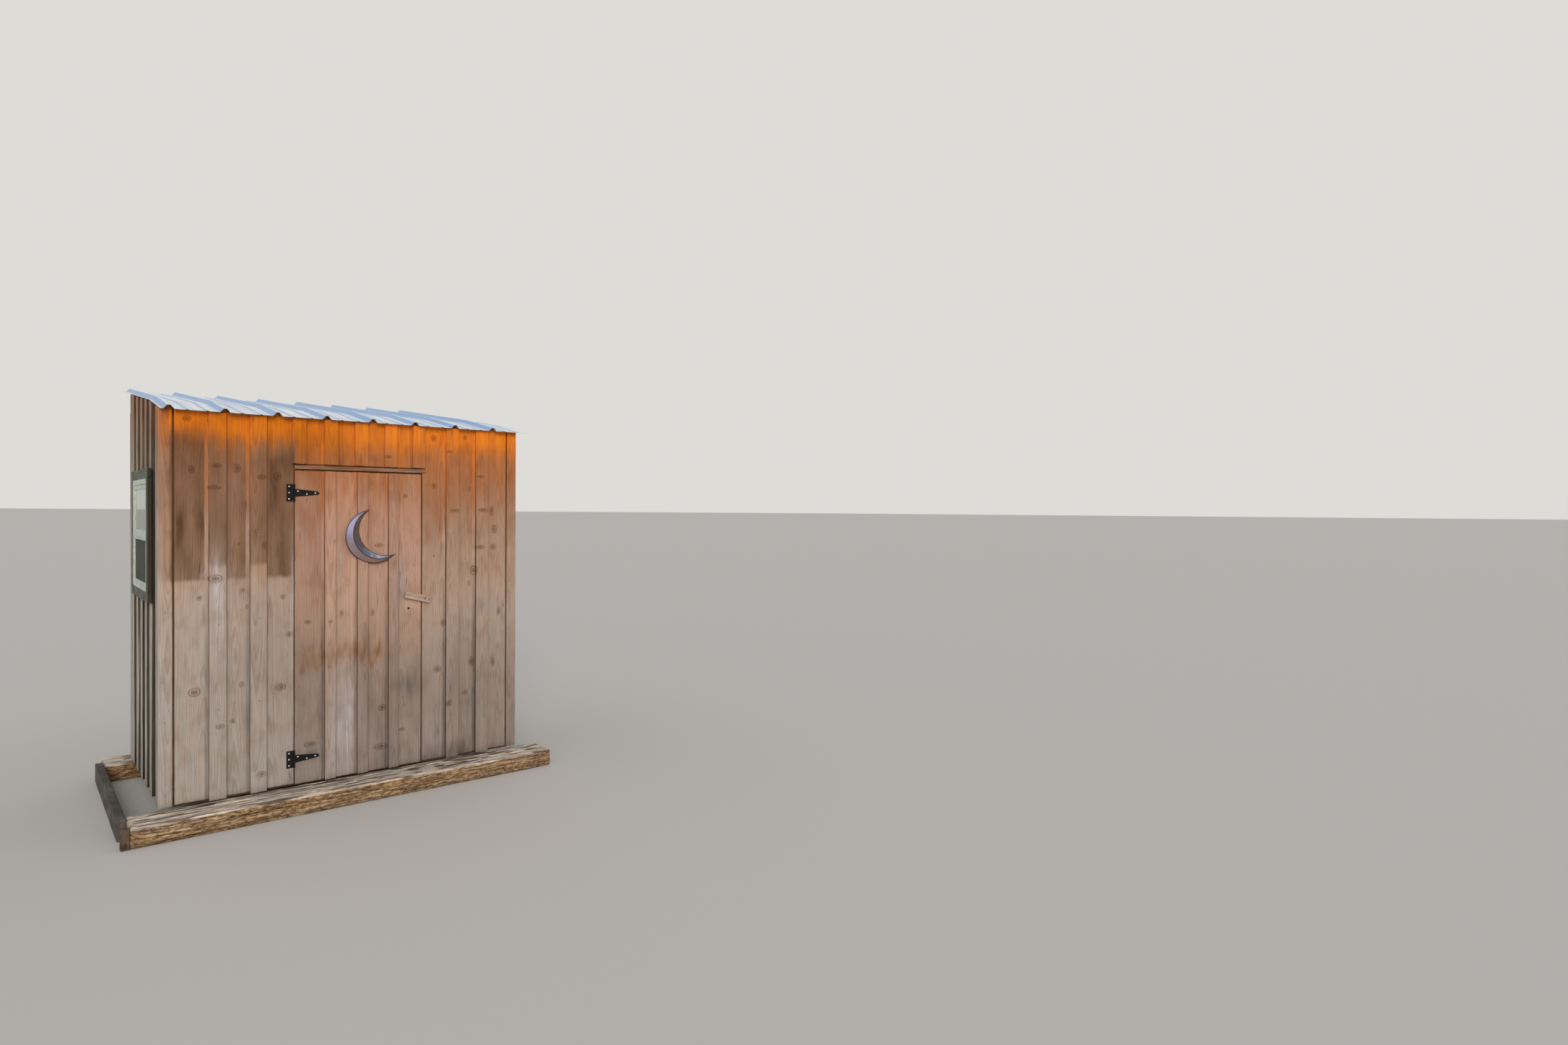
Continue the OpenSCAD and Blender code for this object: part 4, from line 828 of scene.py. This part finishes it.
FRONT = front_cedar, FRONT_OUT, front_wear, "front_siding"
DOOR = door_cedar, FRONT_OUT, front_wear, "door_siding"
SIDE = side_cedar, LEFT_OUT, side_wear, "side_siding"
BACK = plain_cedar, BACK_OUT, plain_wear, "side_siding"
CASING = casing_wood, LEFT_OUT, casing_wear, "window_casing"
BOARD = dict(knots=FRONT_KNOTS, across=6, along=8)
STRIP = dict(round_mm=1.6, proud=True, side_steps=2, ragged=2.5)
BAR = dict(across=5, along=8, round_mm=1.5, side_steps=3)
for name, node, look, seed, settings in (
    ("front_boards_left", "front_wall_left", FRONT, 100, BOARD),
    ("front_boards_right", "front_wall_right", FRONT, 200, BOARD),
    ("boards_over_door", "front_wall_over_door", FRONT, 300, dict(BOARD, round_mm=0.6, wander=0.1, warp=0.4)),
    ("front_batten_strips", "front_battens", FRONT, 400, dict(BOARD, **STRIP, warp=0.9, flank_wear=batten_flank)),
    ("door_boards_sawn", "door_boards", DOOR, 500, dict(BOARD, body="door", ragged=2.0,
                                                        tones=(-0.1, 0.12, 0.1, 0.08))),
    ("door_batten_strips", "door_battens", DOOR, 600, {**BOARD, **STRIP, "ragged": 2.0, "body": "door",
                                                       "flank_wear": batten_flank, "tones": (0.12, -0.06, -0.1)}),
    ("door_ledge_boards", "door_ledges", (sawn_pine, BACK_OUT, sheltered_wear, "framing_lumber"), 650,
     dict(body="door", across=15, along=25)),
    ("corner_trim_front_back", "end_trims", (trim_cedar, FRONT_OUT, front_wear, "corner_trim"), 700,
     dict(BOARD, along=10, ragged=2.5)),
    ("strip_over_door", "header_strip", (front_cedar, FRONT_OUT, strip_wear, "header_strip"), 750,
     dict(BOARD, across=5, round_mm=1.0)),
    ("left_boards", "left_wall", SIDE, 800, dict(across=9, along=10)),
    ("right_boards", "right_wall", (side_cedar, RIGHT_OUT, side_wear, "side_siding"), 850,
     dict(across=12, along=14)),
    ("back_boards", "back_wall", BACK, 900, dict(across=12, along=14)),
    ("side_batten_strips", "side_battens", SIDE, 950, dict(STRIP, across=8, along=12,
                                                           flank_wear=side_batten_flank)),
    ("back_batten_strips", "back_battens", BACK, 1000, dict(STRIP, across=10, along=14)),
    ("corner_trim_sides", "side_trims", (side_cedar, LEFT_OUT, side_trim_wear, "corner_trim"), 1050,
     dict(across=8, along=12, ragged=2.5, side_steps=5, flank_wear=side_trim_flank)),
    ("casing_top_and_bottom", "casing_rails", CASING, 1100, dict(BAR, ragged=1.0)),
    ("casing_sides", "casing_stiles", CASING, 1150, dict(BAR, ragged=0.6)),
):
    wall(name, node, *look, seed, **settings)

for number, node in enumerate(("floor_rims", "floor_joists", "sole_plates", "studs", "top_plates", "door_header",
                               "window_rails", "rafters", "eave_blocks", "purlins")):
    wall("pine_" + node, node, sawn_pine, UP, sheltered_wear, "framing_lumber", 1200 + 50 * number,
         across=15, along=60, wander=0.5, warp=0.4, ragged=0.5)


def rib_middle(number):
    """The middle of a roof rib, in mm: the spacing changes at the lap, over the fifth rib."""
    return 39 + 233.5 * min(number, 4) + 228.5 * max(number - 4, 0)


# The boards' tops are scribed into the ribs of the roof, so they show in the ribs' open ends
top_points = measured(np.concatenate([p for p, _ in solids("front_wall_left")]))
front_top, back_top = (top_points[np.abs(top_points[:, 1] - depth) < 0.5][:, 2].max() for depth in (0, 19))
rib_parts = []
for number in range(8):
    ends = [at(rib_middle(number) + side * half, depth, level + lift)
            for side in (-1, 1) for depth, level in ((0.4, front_top), (17.0, back_top))
            for half, lift in ((19.5, -1.0), (6.0, 16.0))]
    rib_parts.append(plank(np.array(ends), FRONT_OUT, front_wear, 1750 + number, across=3, along=3,
                           round_mm=1.0, wander=0.3, warp=0.3, ragged=0.5))
assembled("board_tops_in_ribs", rib_parts, front_cedar, "shed", "front_siding")

# Ties: long splits in their tops, as across, none, start, end, width and depth, or in their sides, as side
# and depth of the split, and fibrous, furrowed faces
TIE_SPLITS = [(60, None, 100, 900, 2.6, 7), (95, None, 500, 2000, 3.2, 9), (140, None, 30, 760, 2.4, 6),
              (170, None, 900, 2080, 3.0, 8), (30, None, 1200, 1900, 2.2, 5), (200, None, 200, 1100, 2.4, 5),
              (0, 35, 40, 1000, 2.6, 6), (0, 62, 700, 2050, 3.0, 7), (0, 88, 200, 900, 2.4, 5),
              (229, 40, 100, 1400, 2.6, 6), (229, 75, 900, 2000, 2.6, 6)]
TIE = dict(round_mm=9, wander=3.0, warp=1.5, ragged=4.0, checks=TIE_SPLITS, fibre=1.8, back_steps=4, whole=True)
wall("front_tie_timber", "front_tie", tie_wood, UP, tie_wear, "tie_timber", 1800, across=3.2, along=14,
     side_steps=30, **TIE)
wall("back_tie_timber", "back_tie", tie_wood, UP, tie_wear, "tie_timber", 1850, across=4.5, along=20,
     side_steps=20, **TIE)
wall("side_plank_grey", "side_plank", plank_wood, LEFT_OUT, grey_wear, "grey_plank", 1900, across=4, along=12,
     round_mm=3, wander=1.5, ragged=3.0, fibre=1.0, side_steps=6)
wall("corner_stake_rough", "corner_stake", stake_wood, LEFT_OUT, grey_wear, "stake_wood", 1950, across=3, along=4,
     round_mm=3, wander=1.5, ragged=4.0, fibre=1.0, side_steps=10, back_steps=10)

# Floor boards in place of the plain deck, 2 mm apart
FLOOR_BOARDS = 8
floor_low, floor_high = (np.array(v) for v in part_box("floor_deck"))
board_width = (floor_high[1] - floor_low[1]) / FLOOR_BOARDS
floor_parts = []
for i in range(FLOOR_BOARDS):
    low = floor_low + [0, i * board_width + (MM if i else 0), 0]
    last = FLOOR_BOARDS - 1 - i
    high = floor_high - [0, last * board_width + (MM if last else 0), 0]
    corners = np.array([np.where(corner, high, low) for corner in np.ndindex(2, 2, 2)])
    floor_parts.append(plank(corners, UP, sheltered_wear, 2000 + 13 * i, across=15, along=25, round_mm=2))
assembled("floor_boards_laid", floor_parts, floor_pine, "shed", "floor_boards", "floor_deck")

# Turn button: tilted, so it is sawn in its own turned frame
wall("turn_button_block", "turn_button", button_wood, FRONT_OUT, button_wear, "button_wood", 2200,
     body="turn_button", across=3, along=4, round_mm=2.5, wander=1.0, warp=0.5, ragged=1.5, side_steps=4,
     whole=True, turn=np.array(Matrix.Rotation(-BUTTON_TILT, 3, "Y")))


# ---- metalwork ----

def lathed(spots, profile, sides=12):
    """Small turned heads at each spot: (centre, outward direction), from a profile of radius and height in mm."""
    place, faces = [], []
    for centre, out in spots:
        out = Vector(out).normalized()
        side = out.orthogonal().normalized()
        other = out.cross(side)
        start = len(place)
        for radius, height in profile:
            place += [Vector(centre) + (side * math.cos(angle) + other * math.sin(angle)) * radius * MM
                      + out * height * MM for angle in (2 * math.pi * k / sides for k in range(sides))]
        for a in range(start, len(place) - sides, sides):
            for k in range(sides):
                k2 = (k + 1) % sides
                faces.append([a + k, a + k2, a + sides + k2, a + sides + k])
        faces.append(list(range(len(place) - sides, len(place))))
        faces.append(list(range(start, start + sides))[::-1])
    return {"place": np.array(place), "faces": faces}


DOME = [(4.1, -0.4), (4.1, 0.2), (3.7, 1.0), (2.6, 1.7), (1.2, 2.0), (1.0, 1.5)]
NAIL = [(3.2, -2.6), (3.2, -0.1), (2.4, 0.4), (0.9, 0.6)]
ROOF_SCREW = [(7.0, -0.5), (7.0, 0.6), (6.4, 1.2), (4.2, 1.5), (4.2, 4.6), (3.4, 5.4), (1.5, 5.7)]
HOLE_SHADOW_DISC = [(6.2, -0.5), (6.2, 0.25), (5.6, 0.3)]

pin_x = measured([(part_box("hinge_pins")[0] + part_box("hinge_pins")[1]) / 2])[0][0]
leaf_spots, strap_spots = [], []
for middle in (140, 1557):
    leaf_spots += [(at(pin_x - 25, -1.6, middle + dz), FRONT_OUT) for dz in (33, 0, -33)]
    strap_spots += [(at(pin_x + dx, -1.6, middle + dz), FRONT_OUT) for dx, dz in ((17.5, 9), (60, -6), (101, 0))]
assembled("leaf_screws", [lathed(leaf_spots, DOME)], screw_zinc, "shed", "screw_steel")
assembled("strap_screws", [lathed(strap_spots, DOME)], screw_zinc, "door", "screw_steel")

# Crescent: two bevels that meet in a ridge, of sheet metal with thin dark rims
MOON_R, MOON_IN_R, MOON_SHIFT, MOON_H = 151.0, 143.0, 70.0, 20.0
MOON_SHEET, MOON_RIM, MOON_STEPS = 1.7, 2.6, 181
moon_tilt = math.radians(29)
moon_middle = np.array(at(990.0, -19.0, 1322.0))
u_way = np.array([math.cos(moon_tilt), 0, math.sin(moon_tilt)])
v_way = np.array([-math.sin(moon_tilt), 0, math.cos(moon_tilt)])
tip = math.acos((MOON_R ** 2 + MOON_SHIFT ** 2 - MOON_IN_R ** 2) / (2 * MOON_R * MOON_SHIFT)) + 0.012
total = MOON_R + MOON_IN_R
slope = MOON_H / ((MOON_R + MOON_SHIFT - MOON_IN_R) / 2)
layers, finishes = ([], []), []
for number, angle in enumerate(np.linspace(tip, 2 * math.pi - tip, MOON_STEPS)):
    cos, sin = math.cos(angle), math.sin(angle)
    inner = MOON_SHIFT * cos + math.sqrt(MOON_IN_R ** 2 - (MOON_SHIFT * sin) ** 2)
    ridge = (total ** 2 - MOON_SHIFT ** 2) / (2 * (total - MOON_SHIFT * cos))
    wide_out, wide_in = MOON_R - ridge, ridge - inner
    rim_out, rim_in = min(MOON_RIM, 0.3 * wide_out), min(MOON_RIM, 0.3 * wide_in)
    # Radius, which bevel (0 the outer one), and how dark
    stops = [(MOON_R, 0, 1), (MOON_R - rim_out, 0, 0.9), (MOON_R - 2 * rim_out, 0, 0), (MOON_R - wide_out / 2, 0, 0),
             (ridge + rim_out, 0, 0), (ridge + 0.3 * rim_out, 0, 1), (ridge - 0.5 * rim_in, 1, 1),
             (ridge - 1.5 * rim_in, 1, 0), (ridge - wide_in / 2, 1, 0),
             (inner + 2 * rim_in, 1, 0), (inner + rim_in, 1, 0.9), (inner, 1, 1)]
    for r, bevel, dark in stops:
        high = 1.6 + 0.91 * max(slope * min(MOON_R - r, math.hypot(r * cos - MOON_SHIFT, r * sin) - MOON_IN_R), 0)
        for layer, out in zip(layers, (high, max(high - MOON_SHEET, 0.0))):
            layer.append(moon_middle + (u_way * r * cos + v_way * r * sin + np.array([0, -1, 0]) * out) * MM)
        finishes.append((number / (MOON_STEPS - 1), bevel, dark, 1.0))
wide, half = len(stops), len(finishes)
moon_faces = []
for a in range(half - wide):
    b = a + wide
    if a % wide < wide - 1:
        moon_faces += [[a, a + 1, b + 1, b], [half + a, half + b, half + b + 1, half + a + 1]]
    else:
        moon_faces.append([half + a, half + b, b, a])
    if a % wide == 0:
        moon_faces.append([a, b, half + b, half + a])
for a, b in zip(range(wide - 1), range(half - wide, half - 1)):
    moon_faces += [[half + a, half + a + 1, a + 1, a], [b, b + 1, half + b + 1, half + b]]
moon_part = {"place": np.array(layers[0] + layers[1]), "faces": moon_faces, "finish": np.array(finishes * 2)}
assembled("crescent_formed", [moon_part], moon_metal, "door", "crescent_metal", "crescent")

# Roofing screws with washers beside each rib, over every purlin and at the eave
bpy.context.view_layer.update()


def on_roof(x, y):
    """Where a drop from above meets the roof, and which way it faces."""
    best = None
    for sheet in (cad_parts[n] for n in ("roof_sheet_left", "roof_sheet_right")):
        hit, spot, normal, _ = sheet.ray_cast(sheet.matrix_world.inverted() @ at(x, y, 2600), -UP)
        if hit and (best is None or (sheet.matrix_world @ spot).z > best[0].z):
            best = (sheet.matrix_world @ spot, normal)
    return best


purlin_ys = sorted({round(float(measured((p.min(0) + p.max(0))[None] / 2)[0][1])) for p, _ in solids("purlins")})
roof_right = measured([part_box("roof_sheet_right")[1]])[0][0]
roof_spots = []
for screw_x in (rib_middle(number) + 34 for number in range(9)):
    if screw_x < roof_right - 12:
        roof_spots += [on_roof(screw_x, y) for y in [14] + purlin_ys]
assembled("roof_screws", [lathed(filter(None, roof_spots), ROOF_SCREW, 10)], screw_zinc, "shed", "screw_steel")

# A finger hole through the door, drawn as a disc of painted shadow
assembled("finger_hole_painted_shadow", [lathed([(at(1181.7, 0.4, 903.5), FRONT_OUT)], HOLE_SHADOW_DISC, 20)], hole_dark, "door", "door_siding")

# Nail heads in the battens and in the front's two trims
nails = [(x + 3, -18.6, z + 7 * ((x * 7 + z) % 5 - 2)) for x in (245, 424, 1429, 1608)
         for z in (60, 470, 900, 1330, 1780)]
nails += [(x, -0.2, z) for x, z in (
    (29, 1931), (26, 1888), (31, 1486), (30, 960), (27, 420), (30, 60),
    (1800, 1900), (1803, 1480), (1801, 960), (1802, 420), (1800, 60))]
nail_spots = [(at(*spot), FRONT_OUT) for spot in nails]
assembled("front_nails", [lathed(nail_spots, NAIL, 8)], pin_zinc, "shed", "screw_steel")

# CAD pieces that keep their own shape, and how far their edges are eased in mm
for look, rounds in (
        (roof_steel, {"roof_sheet_left": 0, "roof_sheet_right": 0}),
        (hinge_steel, {"hinge_leaves": 0, "hinge_straps": 0}), (pin_zinc, {"hinge_pins": 0.2}),
        (screw_zinc, {"button_screw": 0.4}), (glass, {"window_glass": 0}), (screen, {"insect_screen": 0}),
        (vinyl, {"window_frame": 1.5, "window_sashes": 1.2, "screen_frame": 0.8})):
    for node, round_mm in rounds.items():
        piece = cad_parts[node]
        piece.data.materials.clear()
        piece.data.materials.append(look)
        if round_mm:
            piece.modifiers.new("joined", "WELD").merge_threshold = 1e-6
            eased = piece.modifiers.new("eased", "BEVEL")
            eased.width = round_mm * MM
            eased.segments = 2
            eased.limit_method = "ANGLE"
            eased.angle_limit = math.radians(40)


# ---- studio: pale floor, soft light, and the photograph's camera ----

def staged(name, data):
    """An object of the studio."""
    made = bpy.data.objects.new(name, data)
    bpy.context.scene.collection.objects.link(made)
    return made


REACH = 900.0
floor_mesh = bpy.data.meshes.new("studio_floor")
floor_mesh.from_pydata([(-REACH, -REACH, 0), (REACH, -REACH, 0), (REACH, REACH, 0), (-REACH, REACH, 0)], [],
                       [(0, 1, 2, 3)])
floor_mesh.materials.append(material("studio_floor_matt", matt_floor))
staged("studio_floor", floor_mesh)

# The backdrop's own colour shows to the camera, in reflections and through glass; the rest is soft fill
world = bpy.data.worlds.new("studio")
bpy.context.scene.world = world
world.use_nodes = True
world.node_tree.nodes.clear()
add = functools.partial(add_node, world.node_tree)
path = add("LightPath").outputs
seen = add("Math MAXIMUM", path["Is Camera Ray"], path["Is Glossy Ray"])
seen = add("Math MAXIMUM", seen, path["Is Transmission Ray"])
fill, backdrop = (add("Background", *look) for look in (("#F4F6FA", 0.62), ("#DEDCD8", 1.0)))
add("OutputWorld", add("MixShader", seen, fill, backdrop))

# A broad even light from the left of the front, with soft shadows
KEY_SPOT, KEY_TARGET = Vector((-2.6, -7.6, 3.9)), Vector((0, 0, 1.0))
light = bpy.data.lights.new("key_light", "SUN")
light.angle = math.radians(28)
light.energy = 1.75
light.color = linear("#FFF9F2")[:3]
key_light = staged("key_light", light)
key_light.location = KEY_SPOT
key_light.rotation_mode = "QUATERNION"
key_light.rotation_quaternion = (KEY_TARGET - KEY_SPOT).to_track_quat("-Z", "Y")

camera_data = bpy.data.cameras.new("camera")
camera_data.sensor_width = 36.0
camera_data.lens = 20.05
camera_data.clip_start = 0.05
camera_data.clip_end = 3000.0
camera = bpy.context.scene.camera = staged("camera", camera_data)
yaw, pitch, roll = 0.731906, -0.0120713, 0.0072131
forward = Vector((math.sin(yaw) * math.cos(pitch), math.cos(yaw) * math.cos(pitch), math.sin(pitch)))
level = Vector((math.cos(yaw), -math.sin(yaw), 0))
lift = level.cross(forward)
right = level * math.cos(roll) + lift * math.sin(roll)
up = lift * math.cos(roll) - level * math.sin(roll)
place = Matrix((right, up, -forward)).transposed().to_4x4()
place.translation = Vector((-1.481, -5.896, 1.589))
camera.matrix_world = place

bpy.context.scene.view_settings.view_transform = "Standard"

bpy.context.view_layer.update()
